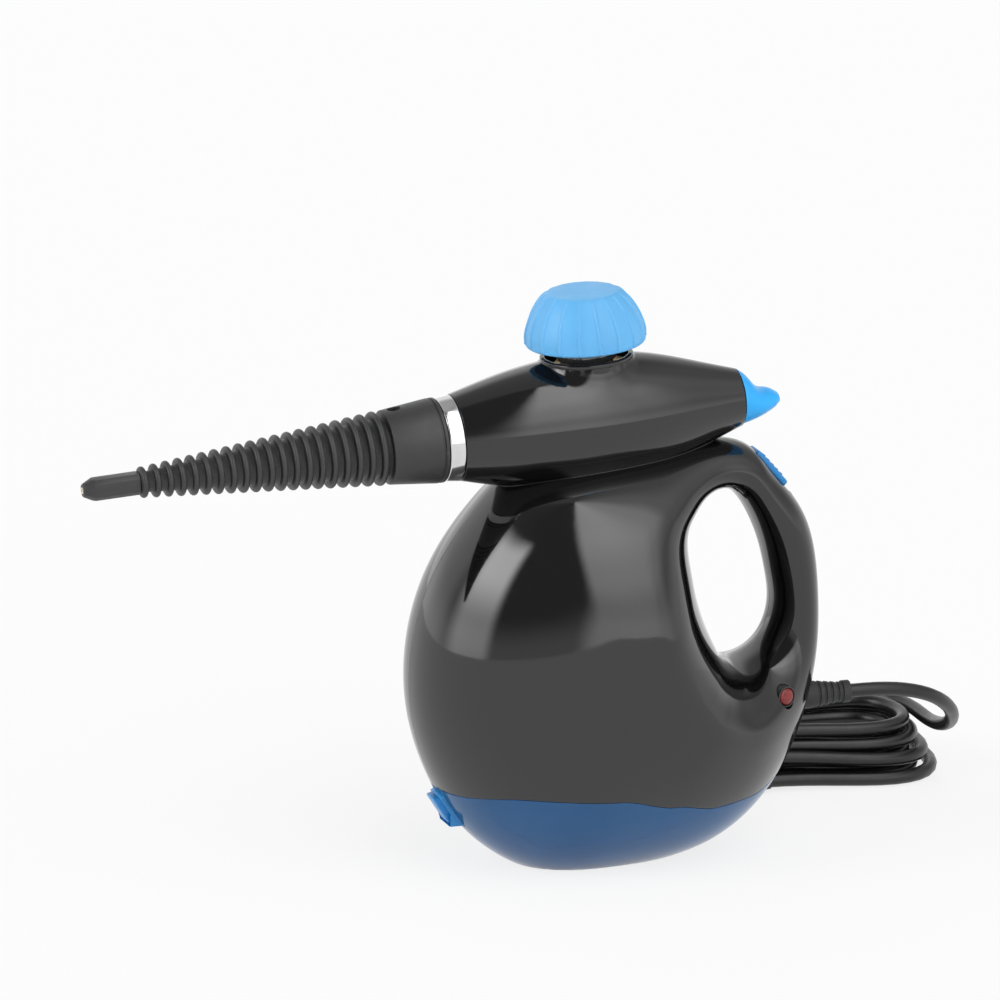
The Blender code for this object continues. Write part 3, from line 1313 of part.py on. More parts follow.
def make_ring(shop):
    ring_back, ring_front = nose_stations()[:2]
    bore = SPOUT_RADIUS + GAP
    front = RING_RADIUS - RING_ROUNDING
    profile = (
        (front - RING_ROUNDING, ring_front), (front, ring_front - RING_ROUNDING),
        (RING_RADIUS, ring_back + RING_ROUNDING), (RING_RADIUS - RING_ROUNDING, ring_back),
        (bore, ring_back), (bore, ring_front),
    )
    finish(shop.add("chrome_ring", turned_mesh("chrome_ring", profile, 24, True), shop.nose), shop.mats["chrome"])


def make_spout(shop):
    """Spout fixed in the fuselage's front wall, with a groove for its seal and a hole for the snap button."""
    ring_back, ring_front, collar_back, collar_front = nose_stations()[:4]
    back = FUSELAGE_FRONT - FRONT_WALL - GAP
    end = collar_back + SPOUT_LENGTH - RING_WIDTH
    seal = collar_back + SEAL_FROM_END
    groove = SPOUT_RADIUS - SEAL_DEPTH - GAP
    profile = (
        (SPOUT_RADIUS - SEAL_DEPTH, end), (SPOUT_RADIUS, end - SEAL_DEPTH),
        (SPOUT_RADIUS, seal + SEAL_WIDTH + GAP), (groove, seal + SEAL_WIDTH + GAP),
        (groove, seal - GAP), (SPOUT_RADIUS, seal - GAP), (SPOUT_RADIUS, back),
        (SPOUT_FLANGE_RADIUS, back), (SPOUT_FLANGE_RADIUS, back - SPOUT_FLANGE_THICKNESS),
        (SPOUT_BORE, back - SPOUT_FLANGE_THICKNESS), (SPOUT_BORE, end),
    )
    spout = shop.add("spout", turned_mesh("spout", profile, 16, True), shop.nose)
    snap = collar_front - SNAP_FROM_COLLAR_FRONT
    up = Matrix.Translation((0, 0, snap)) @ Matrix.Rotation(math.pi / 2, 4, "Y")
    hole = rod_mesh("snap_hole", SNAP_RADIUS + GAP, 0, SPOUT_RADIUS + OVERRUN, 12)
    carve(spout, "DIFFERENCE", shop.tool("snap_hole", hole, shop.nose, up))
    finish(spout, shop.mats["matte_black"])

    mesh = tube_mesh("spout_seal", SPOUT_RADIUS, SPOUT_RADIUS - SEAL_DEPTH, seal, seal + SEAL_WIDTH, 16)
    finish(shop.add("spout_seal", mesh, shop.nose), shop.mats["silicone"])
    button = rod_mesh("snap_button", SNAP_RADIUS, SPOUT_RADIUS - SNAP_HEIGHT, SPOUT_RADIUS - GAP, 12)
    finish(shop.add("snap_button", button, shop.nose, up), shop.mats["steel"])


def make_barrel(shop):
    """Ribbed nozzle: plain tapering collar, then ribs and grooves that shrink towards the tip."""
    ring_back, ring_front, collar_back, collar_front, barrel_front, tip_back = nose_stations()
    pitch = RIBBED_LENGTH / RIB_COUNT
    profile = []
    for index in range(RIB_COUNT):
        share = index / (RIB_COUNT - 1)
        crest = RIB_FRONT_RADIUS + (RIB_BACK_RADIUS - RIB_FRONT_RADIUS) * share
        root = crest - (RIB_FRONT_DEPTH + (RIB_BACK_DEPTH - RIB_FRONT_DEPTH) * share)
        front = barrel_front - pitch * index
        width = pitch * RIB_WIDTH_SHARE
        profile += [(crest, front - width / 4), (crest, front - width), (root, front - width - pitch / 4)]
    lip = collar_back + COLLAR_LIP
    groove = COLLAR_RADIUS - COLLAR_GROOVE_DEPTH
    profile += [
        (RIB_BACK_RADIUS, collar_front), (COLLAR_RADIUS, lip + COLLAR_GROOVE_WIDTH),
        (groove, lip + COLLAR_GROOVE_WIDTH), (groove, lip), (COLLAR_RADIUS, lip), (COLLAR_RADIUS, collar_back),
    ]
    socket = SPOUT_RADIUS + GAP
    floor = collar_back + SOCKET_DEPTH
    spigot = barrel_front - TIP_SPIGOT_LENGTH - GAP
    profile += [(socket, collar_back), (socket, floor), (NOZZLE_BORE, floor), (NOZZLE_BORE, spigot)]
    profile += [(TIP_SPIGOT_RADIUS + GAP, spigot), (TIP_SPIGOT_RADIUS + GAP, barrel_front)]
    barrel = shop.add("nozzle_barrel", turned_mesh("nozzle_barrel", profile, RIB_SIDES, True), shop.nose)
    snap = collar_front - SNAP_FROM_COLLAR_FRONT
    up = Matrix.Translation((0, 0, snap)) @ Matrix.Rotation(math.pi / 2, 4, "Y")
    hole = rod_mesh("collar_hole", SNAP_RADIUS + GAP, 0, COLLAR_RADIUS + OVERRUN, 12)
    carve(barrel, "DIFFERENCE", shop.tool("collar_hole", hole, shop.nose, up))
    finish(barrel, shop.mats["matte_black"])


def make_tip(shop):
    """Tip: a chamfered square shank with a turned end, a spigot in the barrel and the jet in its face."""
    tip_back = nose_stations()[-1]
    tip_front = tip_back + TIP_LENGTH
    bm = bmesh.new()
    bmesh.ops.create_cube(bm, size=1.0)
    bmesh.ops.scale(bm, vec=(TIP_WIDTH, TIP_WIDTH, TIP_LENGTH), verts=bm.verts)
    long_edges = [edge for edge in bm.edges if abs(edge.verts[0].co.z - edge.verts[1].co.z) > TIP_WIDTH]
    bmesh.ops.bevel(bm, geom=long_edges, offset=TIP_CHAMFER, segments=1, profile=0.5, affect="EDGES")
    bmesh.ops.translate(bm, vec=(0, 0, tip_back + TIP_LENGTH / 2), verts=bm.verts)
    tip = shop.add("nozzle_tip", mesh_from(bm, "nozzle_tip"), shop.nose)
    cone = (
        (0, tip_front), (TIP_END_RADIUS, tip_front), (TIP_WIDTH * 0.75, tip_front - TIP_CONE_LENGTH),
        (TIP_WIDTH * 0.75, tip_back - OVERRUN), (0, tip_back - OVERRUN),
    )
    carve(tip, "INTERSECT", shop.tool("tip_cone", turned_mesh("tip_cone", cone, 20, False), shop.nose))
    low = tip_back - GAP - TIP_SPIGOT_LENGTH + GAP
    spigot = rod_mesh("tip_spigot", TIP_SPIGOT_RADIUS, low, tip_back + OVERRUN, 16)
    carve(tip, "UNION", shop.tool("tip_spigot", spigot, shop.nose))
    bore = rod_mesh("tip_bore", TIP_BORE, low - OVERRUN, tip_front + OVERRUN, 12)
    carve(tip, "DIFFERENCE", shop.tool("tip_bore", bore, shop.nose))
    pocket = rod_mesh("jet_pocket", JET_RADIUS + GAP / 2, tip_front - JET_LENGTH, tip_front + OVERRUN, 12)
    carve(tip, "DIFFERENCE", shop.tool("jet_pocket", pocket, shop.nose))
    finish(tip, shop.mats["matte_black"])
    low = tip_front - JET_LENGTH + GAP
    jet = tube_mesh("jet_insert", JET_RADIUS - GAP / 2, JET_BORE, low, tip_front + JET_PROUD, 12)
    finish(shop.add("jet_insert", jet, shop.nose), shop.mats["cream"])


def make_valve(shop, crown):
    """Valve body on the boiler's lid, its lifting stem, spring, and the steam pipe to the spout."""
    along = VALVE_ALONG - CAP_ALONG
    low = crown + GAP
    high = low + VALVE_HEIGHT
    bore = VALVE_STEM_RADIUS + GAP
    deep = high - VALVE_STEM_DEPTH - GAP
    neck = VALVE_RADIUS * VALVE_NECK_SHARE
    profile = (
        (0, deep), (bore, deep), (bore, high), (neck, high), (neck, high - VALVE_CAP_HEIGHT),
        (VALVE_RADIUS, high - VALVE_CAP_HEIGHT), (VALVE_RADIUS, low), (0, low),
    )
    place = Matrix.Translation((along, 0, 0))
    body = shop.add("valve_body", turned_mesh("valve_body", profile, 16, False), shop.filler, place)
    finish(body, shop.mats["brass"])
    top = high + VALVE_STEM_RISE
    profile = (
        (0, top), (VALVE_HEAD_RADIUS, top), (VALVE_HEAD_RADIUS, top - VALVE_HEAD_THICKNESS),
        (VALVE_STEM_RADIUS, top - VALVE_HEAD_THICKNESS), (VALVE_STEM_RADIUS, high - VALVE_STEM_DEPTH),
        (0, high - VALVE_STEM_DEPTH),
    )
    stem = shop.add("valve_stem", turned_mesh("valve_stem", profile, 16, False), shop.filler, place)
    finish(stem, shop.mats["steel"])
    side = PIPE_SIDE
    back = VALVE_RADIUS + GAP
    rise = high - VALVE_CAP_HEIGHT - PIPE_RISE
    spout_back = FUSELAGE_FRONT - FRONT_WALL - GAP - SPOUT_FLANGE_THICKNESS - GAP
    route = [
        (VALVE_ALONG, back, rise), (VALVE_ALONG, side * 0.8, rise), (VALVE_ALONG * 0.8, side, rise),
        (CAP_ALONG, side + PIPE_RADIUS, rise * 0.5), (-CAP_ALONG * 3, side, rise * 0.2),
        (-spout_back * 0.72, side * 0.25, 0), (-spout_back * 0.86, 0, 0), (-spout_back, 0, 0),
    ]
    points = open_curve(route, 3)
    made = shop.add("steam_pipe", curve_tube("steam_pipe", points, PIPE_RADIUS, 1), shop.fuselage)
    made.data.materials.append(shop.mats["silicone"])
    return top - VALVE_HEAD_THICKNESS


def open_curve(places, steps):
    """Smooth open curve through the places, each stretch in the given steps."""
    places = [Vector(place) for place in places]
    ends = [places[0] * 2 - places[1]] + places + [places[-1] * 2 - places[-2]]
    points = []
    for index in range(1, len(ends) - 2):
        before, here, after, beyond = ends[index - 1:index + 3]
        for step in range(steps):
            part = step / steps
            points.append(0.5 * (
                2 * here + (after - before) * part
                + (2 * before - 5 * here + 4 * after - beyond) * part ** 2
                + (3 * here - before - 3 * after + beyond) * part ** 3
            ))
    points.append(places[-1])
    return points


def make_trigger(shop, lift_height):
    """Thumb trigger: hollowed tail piece, tongue to its pivot and an arm with a fork under the stem's head."""
    split = FUSELAGE_BACK + TRIGGER_SPLIT
    pivot = Vector((TRIGGER_PIVOT_ALONG, 0, -TRIGGER_PIVOT_DROP))
    bm = bmesh.new()
    rings = []
    for along, top, bottom, wide in TRIGGER_SECTION_SHARES:
        middle = (top + bottom) / 2 * TRIGGER_HALF_HEIGHT
        tall = (top - bottom) / 2 * TRIGGER_HALF_HEIGHT
        ring = []
        for step in range(TRIGGER_SIDES):
            turn = 2 * math.pi * step / TRIGGER_SIDES
            y = wide * TRIGGER_HALF_WIDTH * math.cos(turn)
            z = middle + tall * math.sin(turn)
            ring.append(bm.verts.new(Vector((split + along * TRIGGER_LENGTH, y, z)) - pivot))
        rings.append(ring)
    for first, second in zip(rings, rings[1:]):
        for step in range(TRIGGER_SIDES):
            after = (step + 1) % TRIGGER_SIDES
            bm.faces.new((first[step], first[after], second[after], second[step]))
    bm.faces.new(rings[0])
    bm.faces.new(rings[-1])
    trigger = shop.add("steam_trigger", mesh_from(bm, "steam_trigger"), shop.fuselage, Matrix.Translation(pivot))
    centre = Matrix.Translation(pivot)
    length = split + OVERRUN - TRIGGER_PIVOT_ALONG
    size = (length, TRIGGER_TONGUE_WIDTH, TRIGGER_TONGUE_HEIGHT)
    tongue = block_mesh("tongue", size, (length / 2, 0, 0))
    carve(trigger, "UNION", shop.tool("tongue", tongue, shop.fuselage, centre))
    cross = centre @ Matrix.Rotation(math.pi / 2, 4, "X")
    eye = rod_mesh("eye", TRIGGER_EYE_RADIUS, -TRIGGER_TONGUE_WIDTH / 2, TRIGGER_TONGUE_WIDTH / 2, 16)
    carve(trigger, "UNION", shop.tool("eye", eye, shop.fuselage, cross))
    reach = TRIGGER_PIVOT_ALONG - VALVE_ALONG + VALVE_HEAD_RADIUS
    arm_top = lift_height - GAP + TRIGGER_PIVOT_DROP
    size = (reach, TRIGGER_TONGUE_WIDTH, TRIGGER_ARM_THICKNESS)
    arm = block_mesh("arm", size, (-reach / 2, 0, arm_top - TRIGGER_ARM_THICKNESS / 2))
    carve(trigger, "UNION", shop.tool("arm", arm, shop.fuselage, centre))
    slot_half = VALVE_STEM_RADIUS + TRIGGER_FORK_SLOT / 2
    size = (2 * slot_half + 2 * VALVE_HEAD_RADIUS, 2 * slot_half, 2 * TRIGGER_ARM_THICKNESS)
    middle = (VALVE_ALONG - TRIGGER_PIVOT_ALONG + slot_half - size[0] / 2, 0, arm_top - TRIGGER_ARM_THICKNESS / 2)
    carve(trigger, "DIFFERENCE", shop.tool("fork", block_mesh("fork", size, middle), shop.fuselage, centre))
    bore = rod_mesh("pin_bore", TRIGGER_PIN_RADIUS + GAP, -TRIGGER_TONGUE_WIDTH, TRIGGER_TONGUE_WIDTH, 12)
    carve(trigger, "DIFFERENCE", shop.tool("pin_bore", bore, shop.fuselage, cross))
    keep_largest(trigger)
    finish(trigger, shop.mats["blue"])

    half = pin_half_length()
    pin = rod_mesh("trigger_pin", TRIGGER_PIN_RADIUS, -half, half, 12)
    finish(shop.add("trigger_pin", pin, shop.fuselage, cross), shop.mats["steel"])
    along = TRIGGER_PIVOT_ALONG - TRIGGER_SPRING_FROM_PIVOT
    low = arm_top - TRIGGER_PIVOT_DROP + GAP + TRIGGER_SPRING_WIRE
    ceiling = fuselage_radius(along + TRIGGER_SPRING_RADIUS) - WALL
    high = math.sqrt(ceiling ** 2 - TRIGGER_SPRING_RADIUS ** 2) - 2 * GAP - TRIGGER_SPRING_WIRE
    spring(shop, "trigger_spring", TRIGGER_SPRING_RADIUS, TRIGGER_SPRING_WIRE, low, high, shop.fuselage,
           Matrix.Translation((along, 0, 0)))


def pin_half_length():
    """The pin reaches to the fuselage's inner walls beside the pivot."""
    inside = fuselage_radius(TRIGGER_PIVOT_ALONG + TRIGGER_PIN_RADIUS) - WALL
    drop = TRIGGER_PIVOT_DROP + TRIGGER_PIN_RADIUS
    return math.sqrt(inside ** 2 - drop ** 2) - GAP


def make_slider(shop, place):
    """Lock slider with ridges across its top."""
    size = (SLIDER_LENGTH, SLIDER_WIDTH, SLIDER_PROUD + SLIDER_SUNK)
    centre = (0, 0, (SLIDER_PROUD - SLIDER_SUNK) / 2)
    slider = shop.add("lock_slider", block_mesh("lock_slider", size, centre, SLIDER_ROUNDING), shop.world,
                      place)
    pitch = SLIDER_LENGTH / (SLIDER_RIDGES + 2)
    for index in range(SLIDER_RIDGES):
        along = pitch * (index - (SLIDER_RIDGES - 1) / 2)
        size = (SLIDER_RIDGE_WIDTH, SLIDER_WIDTH - 3 * SLIDER_ROUNDING, 2 * SLIDER_RIDGE_HEIGHT)
        ridge = block_mesh("ridge", size, (along, 0, SLIDER_PROUD))
        carve(slider, "UNION", shop.tool("ridge", ridge, shop.world, place))
    finish(slider, shop.mats["blue"])


def make_lamp(shop, lamp):
    """Bezel ring, domed lens in it and the holder behind them."""
    outer = LAMP_RADIUS + LAMP_BEZEL
    low = -LAMP_DEPTH + WALL
    profile = (
        (LAMP_RADIUS + GAP, LAMP_BEZEL_PROUD), (outer, LAMP_BEZEL_PROUD), (outer, low),
        (LAMP_RADIUS + GAP, low),
    )
    bezel = shop.add("lamp_bezel", turned_mesh("lamp_bezel", profile, 20, True), shop.world, lamp)
    finish(bezel, shop.mats["matte_black"])
    dome = [(0, LAMP_PROUD), (LAMP_RADIUS * 0.55, LAMP_PROUD * 0.8), (LAMP_RADIUS * 0.9, LAMP_PROUD * 0.25)]
    profile = dome + [(LAMP_RADIUS, 0), (LAMP_RADIUS, low), (0, low)]
    lens = shop.add("pilot_lens", turned_mesh("pilot_lens", profile, 20, False), shop.world, lamp)
    finish(lens, shop.mats["red"])
    holder = rod_mesh("lamp_holder", outer, low - GAP - LAMP_HOLDER_LENGTH, low - GAP, 16)
    finish(shop.add("lamp_holder", holder, shop.world, lamp), shop.mats["inner"])


def make_cord_entry(shop, entry):
    """Strain relief through the back wall, cord clamp and terminal block on the floor plate."""
    collar_low = RELIEF_SLEEVE_LENGTH
    flange_top = -WALL - WALL - GAP
    profile = (
        (0, collar_low + RELIEF_COLLAR_WIDTH), (RELIEF_COLLAR_RADIUS, collar_low + RELIEF_COLLAR_WIDTH),
        (RELIEF_COLLAR_RADIUS, collar_low), (RELIEF_SLEEVE_TIP, collar_low),
        (RELIEF_SLEEVE_RADIUS, WALL), (RELIEF_SLEEVE_RADIUS, flange_top),
        (RELIEF_FLANGE_RADIUS, flange_top), (RELIEF_FLANGE_RADIUS, flange_top - RELIEF_FLANGE_THICKNESS),
        (CORD_RADIUS, flange_top - RELIEF_FLANGE_THICKNESS),
        (CORD_RADIUS, flange_top - RELIEF_FLANGE_THICKNESS - CORD_TAIL_LENGTH),
        (0, flange_top - RELIEF_FLANGE_THICKNESS - CORD_TAIL_LENGTH),
    )
    made = shop.add("strain_relief", turned_mesh("strain_relief", profile, 16, False), shop.world, entry)
    finish(made, shop.mats["rubber"])
    plate_top = FLOOR_PLATE_Z + PLATE_THICKNESS
    back = entry.translation.x + flange_top - RELIEF_FLANGE_THICKNESS - CLAMP_BACK
    height = CORD_ENTRY_Z + CORD_RADIUS + CLAMP_BAR - plate_top - GAP
    size = (CLAMP_LENGTH, CLAMP_WIDTH, height)
    block = block_mesh("cord_clamp", size, (back - CLAMP_LENGTH / 2, 0, plate_top + GAP + height / 2))
    clamp = shop.add("cord_clamp", block, shop.world)
    channel = rod_mesh("clamp_bore", CORD_RADIUS + GAP, -4 * CLAMP_LENGTH, 0, 16)
    carve(clamp, "DIFFERENCE", shop.tool("clamp_bore", channel, shop.world, entry))
    finish(clamp, shop.mats["inner"])
    size = (TERMINAL_LENGTH, TERMINAL_WIDTH, TERMINAL_HEIGHT)
    centre = (TERMINAL_X, TERMINAL_Y, plate_top + GAP + TERMINAL_HEIGHT / 2)
    block = block_mesh("terminal_block", size, centre)
    finish(shop.add("terminal_block", block, shop.world), shop.mats["cream"])


def hank_point(turns):
    """Centre line of the hank: loops spiral in and out, a layer lower after each half-turn climb."""
    period = HANK_TURNS + HANK_CLIMB
    layer = min(int(turns / period), HANK_LAYERS - 1)
    local = turns - layer * period
    length = HANK_LAST_TURNS if layer == HANK_LAYERS - 1 else HANK_TURNS
    wound = min(local, length)
    place = HANK_TURNS - wound if layer % 2 == 0 else wound
    climb = max(local - length, 0) / HANK_CLIMB
    height = CORD_RADIUS + HANK_LAYER_RISE * (HANK_LAYERS - 1 - layer - climb * climb * (3 - 2 * climb))
    turn = 2 * math.pi * turns
    rise = math.sin(turn)
    half_length = HANK_HALF_LENGTH + HANK_END_PITCH * place
    half_width = HANK_INNER_HALF_WIDTH + HANK_WIDTH_PITCH * place
    return Vector((
        HANK_X + half_length * math.cos(turn),
        HANK_Y + half_width * rise * (1 - HANK_WAIST_SHARE * rise * rise),
        height + HANK_TIE_LIFT * rise ** 8,
    ))


def hank_turns():
    return (HANK_LAYERS - 1) * (HANK_TURNS + HANK_CLIMB) + HANK_LAST_TURNS


def hank_points():
    count = round(hank_turns() * HANK_STEPS)
    loops = [hank_point(step / HANK_STEPS) for step in range(count + 1)]
    lead = Vector((0, CORD_DIAMETER, 0))
    return [loops[0] - lead] + loops, lead


def tail_points(end):
    """From the hank's last point round a quarter turn and back to the plug, rising to the plug's middle."""
    places = [end + Vector((0, TAIL_LEAD * share, 0)) for share in (0.5, 1.0)]
    centre = places[-1] - Vector((TAIL_TURN_RADIUS, 0, 0))
    for step in range(1, TAIL_TURN_STEPS + 1):
        turn = math.pi / 2 * step / TAIL_TURN_STEPS
        places.append(centre + TAIL_TURN_RADIUS * Vector((math.cos(turn), math.sin(turn), 0)))
    places += [places[-1] - Vector((TAIL_RUN * share, 0, 0)) for share in (0.5, 1.0)]
    rise = PLUG_BODY_HEIGHT / 2 - CORD_RADIUS
    points = []
    for index, place in enumerate(places, 1):
        share = index / len(places)
        points.append(place + Vector((0, 0, rise * share * share * (3 - 2 * share))))
    return points


def bent_stretch(start, first_pull, second_pull, end, steps):
    """Bezier stretch between two places that leaves and arrives along the two pulls."""
    second = start + first_pull
    third = end - second_pull
    points = []
    for step in range(steps + 1):
        share = step / steps
        rest = 1 - share
        points.append(
            start * rest ** 3 + second * (3 * rest ** 2 * share)
            + third * (3 * rest * share ** 2) + end * share ** 3
        )
    return points


def least_gap(points):
    """Least clear distance between stretches of a tube that are not next to each other."""
    places = np.array([tuple(point) for point in points])
    fine = []
    for first, second in zip(places, places[1:]):
        for share in (0, 0.25, 0.5, 0.75):
            fine.append(first + (second - first) * share)
    fine = np.array(fine)
    steps = np.linalg.norm(np.diff(fine, axis=0), axis=1)
    run = np.concatenate(([0], np.cumsum(steps)))
    apart = np.linalg.norm(fine[:, None] - fine[None, :], axis=2)
    near = np.abs(run[:, None] - run[None, :]) < 4 * CORD_DIAMETER
    apart[near] = np.inf
    return float(apart.min()) - CORD_DIAMETER


def path_length(points):
    return sum((second - first).length for first, second in zip(points, points[1:]))


def make_cord(shop, entry):
    """Free stretch from the strain relief, the hank with the tail to the plug, its tie and the plug."""
    start = entry.translation + Vector((RELIEF_SLEEVE_LENGTH + RELIEF_COLLAR_WIDTH + GAP, 0, 0))
    loops, lead = hank_points()
    join = loops[0] - lead / CORD_DIAMETER * GAP
    straight = Vector((CORD_DIAMETER, 0, 0))
    bend = bent_stretch(start + straight, Vector((FREE_HANDLE_OUT, 0, 0)), Vector((0, FREE_HANDLE_IN, 0)),
                        join - lead, FREE_STEPS)
    free = [start] + bend + [join]
    made = shop.add("power_cord", curve_tube("power_cord", free, CORD_RADIUS, 2), shop.world)
    made.data.materials.append(shop.mats["cord"])
    tail = tail_points(loops[-1])
    whole = loops + tail
    made = shop.add("cord_hank", curve_tube("cord_hank", whole, CORD_RADIUS, 1), shop.world)
    made.data.materials.append(shop.mats["cord"])
    print("cord length", round(path_length(free) + path_length(whole), 4))
    print("least gap in the hank", round(least_gap(whole), 5))
    make_tie(shop)
    make_plug(shop, tail[-1])


def make_tie(shop):
    """Band round the waist of the hank."""
    outermost = HANK_INNER_HALF_WIDTH + HANK_WIDTH_PITCH * HANK_TURNS
    half = outermost * (1 - HANK_WAIST_SHARE) + CORD_RADIUS + TIE_ROOM
    low = HANK_TIE_LIFT - GAP
    high = HANK_LAYER_RISE * (HANK_LAYERS - 1) + CORD_DIAMETER + HANK_TIE_LIFT + GAP
    size = (TIE_WIDTH, 2 * half + 2 * TIE_THICKNESS, high - low + 2 * TIE_THICKNESS)
    middle = (HANK_X, HANK_Y, (low + high) / 2)
    tie = shop.add("hank_tie", block_mesh("hank_tie", size, middle), shop.world)
    opening = block_mesh("tie_opening", (2 * TIE_WIDTH, 2 * half, high - low), middle)
    carve(tie, "DIFFERENCE", shop.tool("tie_opening", opening, shop.world))
    finish(tie, shop.mats["rubber"], False)


def make_plug(shop, end):
    """Moulded mains plug with two round pins, lying on the surface at the end of the tail."""
    start = end - Vector((GAP, 0, 0))
    frame = Matrix.Translation(start) @ Matrix.Rotation(-math.pi / 2, 4, "Y")
    sleeve = rod_mesh("mains_plug", PLUG_SLEEVE_RADIUS, 0, PLUG_SLEEVE_LENGTH + PLUG_ROUNDING, 16)
    plug = shop.add("mains_plug", sleeve, shop.world, frame)
    size = (PLUG_BODY_HEIGHT, PLUG_BODY_WIDTH, PLUG_BODY_LENGTH)
    middle = PLUG_SLEEVE_LENGTH + PLUG_BODY_LENGTH / 2
    body = block_mesh("plug_body", size, (0, 0, middle), PLUG_ROUNDING)
    carve(plug, "UNION", shop.tool("plug_body", body, shop.world, frame))
    face = PLUG_SLEEVE_LENGTH + PLUG_BODY_LENGTH
    for side in (-1, 1):
        local = frame @ Matrix.Translation((0, side * PLUG_PIN_SPACING / 2, 0))
        hole = rod_mesh("pin_socket", PLUG_PIN_RADIUS + GAP, face - PLUG_PIN_SOCKET, face + OVERRUN, 12)
        carve(plug, "DIFFERENCE", shop.tool("pin_socket", hole, shop.world, local))
    finish(plug, shop.mats["rubber"])
    for name, side in (("plug_pin_1", -1), ("plug_pin_2", 1)):
        local = frame @ Matrix.Translation((0, side * PLUG_PIN_SPACING / 2, 0))
        low = face - PLUG_PIN_SOCKET + GAP
        tip = face + PLUG_PIN_LENGTH
        profile = ((0, tip), (PLUG_PIN_RADIUS * 0.7, tip), (PLUG_PIN_RADIUS, tip - PLUG_PIN_RADIUS),
                   (PLUG_PIN_RADIUS, low), (0, low))
        pin = shop.add(name, turned_mesh("plug_pin", profile, 12, False), shop.world, local)
        finish(pin, shop.mats["brass"])


def main():
    clear_scene()
    shop = Workshop()
    outer = outer_form(shop)
    places = {"lamp": lamp_frame(outer), "entry": entry_frame(outer), "slider": slider_frame(outer)}
    hollow = add_beds(shop, inner_form(shop), places)
    make_housing(shop, outer, hollow, places)
    make_base(shop, outer)
    make_latch(shop)
    snug = shop.tool("snug_form", ring_body_mesh("snug_form", WALL + 2 * GAP), shop.world)
    make_plates(shop, snug)
    make_screws(shop)
    crown = make_boiler(shop)
    make_heater(shop)
    make_pot_controls(shop)
    make_neck_nut(shop)
    make_cap_inside(shop)
    make_cap_shell(shop)
    make_ring(shop)
    make_spout(shop)
    make_barrel(shop)
    make_tip(shop)
    lift_height = make_valve(shop, crown)
    make_trigger(shop, lift_height)
    make_slider(shop, places["slider"])
    make_lamp(shop, places["lamp"])
    make_cord_entry(shop, places["entry"])
    make_cord(shop, places["entry"])
    for helper in (outer, hollow, snug):
        bpy.data.objects.remove(helper)


main()
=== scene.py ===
"""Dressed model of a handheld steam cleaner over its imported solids.

The nozzle points along -X, +Z is up and Y is the width. All lengths are metres; tables whose names end
in "shares" hold plain fractions of the length or height that they go with.
"""

import math

import bmesh
import bpy
import numpy as np
from mathutils import Matrix, Vector
from mathutils.bvhtree import BVHTree


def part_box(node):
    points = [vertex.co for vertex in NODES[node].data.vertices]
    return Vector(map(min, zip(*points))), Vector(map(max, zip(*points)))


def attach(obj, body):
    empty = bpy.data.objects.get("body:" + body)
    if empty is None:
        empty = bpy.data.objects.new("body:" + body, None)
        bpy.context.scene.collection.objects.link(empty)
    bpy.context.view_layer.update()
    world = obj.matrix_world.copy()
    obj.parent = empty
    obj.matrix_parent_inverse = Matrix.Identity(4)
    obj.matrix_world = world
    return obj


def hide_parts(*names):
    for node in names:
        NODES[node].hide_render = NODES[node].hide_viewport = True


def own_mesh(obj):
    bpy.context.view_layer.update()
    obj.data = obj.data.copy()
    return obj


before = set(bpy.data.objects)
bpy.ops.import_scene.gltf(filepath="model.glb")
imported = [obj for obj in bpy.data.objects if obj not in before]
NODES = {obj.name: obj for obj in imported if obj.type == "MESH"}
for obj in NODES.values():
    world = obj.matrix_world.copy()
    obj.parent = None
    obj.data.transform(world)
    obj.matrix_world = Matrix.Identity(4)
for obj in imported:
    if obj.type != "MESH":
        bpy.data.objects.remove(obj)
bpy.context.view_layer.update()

# General clearances and walls
GAP = 0.0003
WALL = 0.0025
OVERRUN = 0.004
MERGE = 0.000004
HIDDEN_EDGE = math.radians(34)

# Camera
CAMERA_AIM = Vector((-0.020276, 0.047294, 0.144480))
CAMERA_BACK = Vector((-0.29848, -0.91863, 0.25882))
CAMERA_DISTANCE = 8.0
CAMERA_LENS = 679.68

# Ball body, seen from the side
BODY_LENGTH = 0.181
BODY_FRONT = BODY_LENGTH * 0.42
BODY_HEIGHT = 0.176
BODY_HALF_WIDTH = 0.064
FLOOR_WALL = 0.003
BODY_MIDDLE_SHARES = (0.50, 0.50)
BALL_FULLNESS = 2.3
HOLE_MIDDLE_SHARES = (0.783, 0.6733)
HOLE_WIDTH = BODY_LENGTH * 0.215
HOLE_HEIGHT = BODY_HEIGHT * 0.4432
HOLE_ROLL = 0.030
HANDLE_HALF_WIDTH = 0.0165
TAPER_SHARE = 0.36
TAPER_LENGTH_SHARES = (0.50, 1.00)
TAPER_HEIGHT_SHARES = (0.33, 0.60)
BODY_OUTLINE_SHARES = (
    (1.000, 0.557), (0.989, 0.722), (0.947, 0.840), (0.879, 0.928), (0.806, 0.996),
    (0.640, 1.010), (0.430, 1.000), (0.265, 0.962), (0.177, 0.895), (0.088, 0.778),
    (0.022, 0.625), (0.000, 0.455), (0.028, 0.284), (0.122, 0.102), (0.282, -0.017),
    (0.464, -0.034), (0.696, 0.009), (0.862, 0.136), (0.950, 0.290), (0.990, 0.426),
)
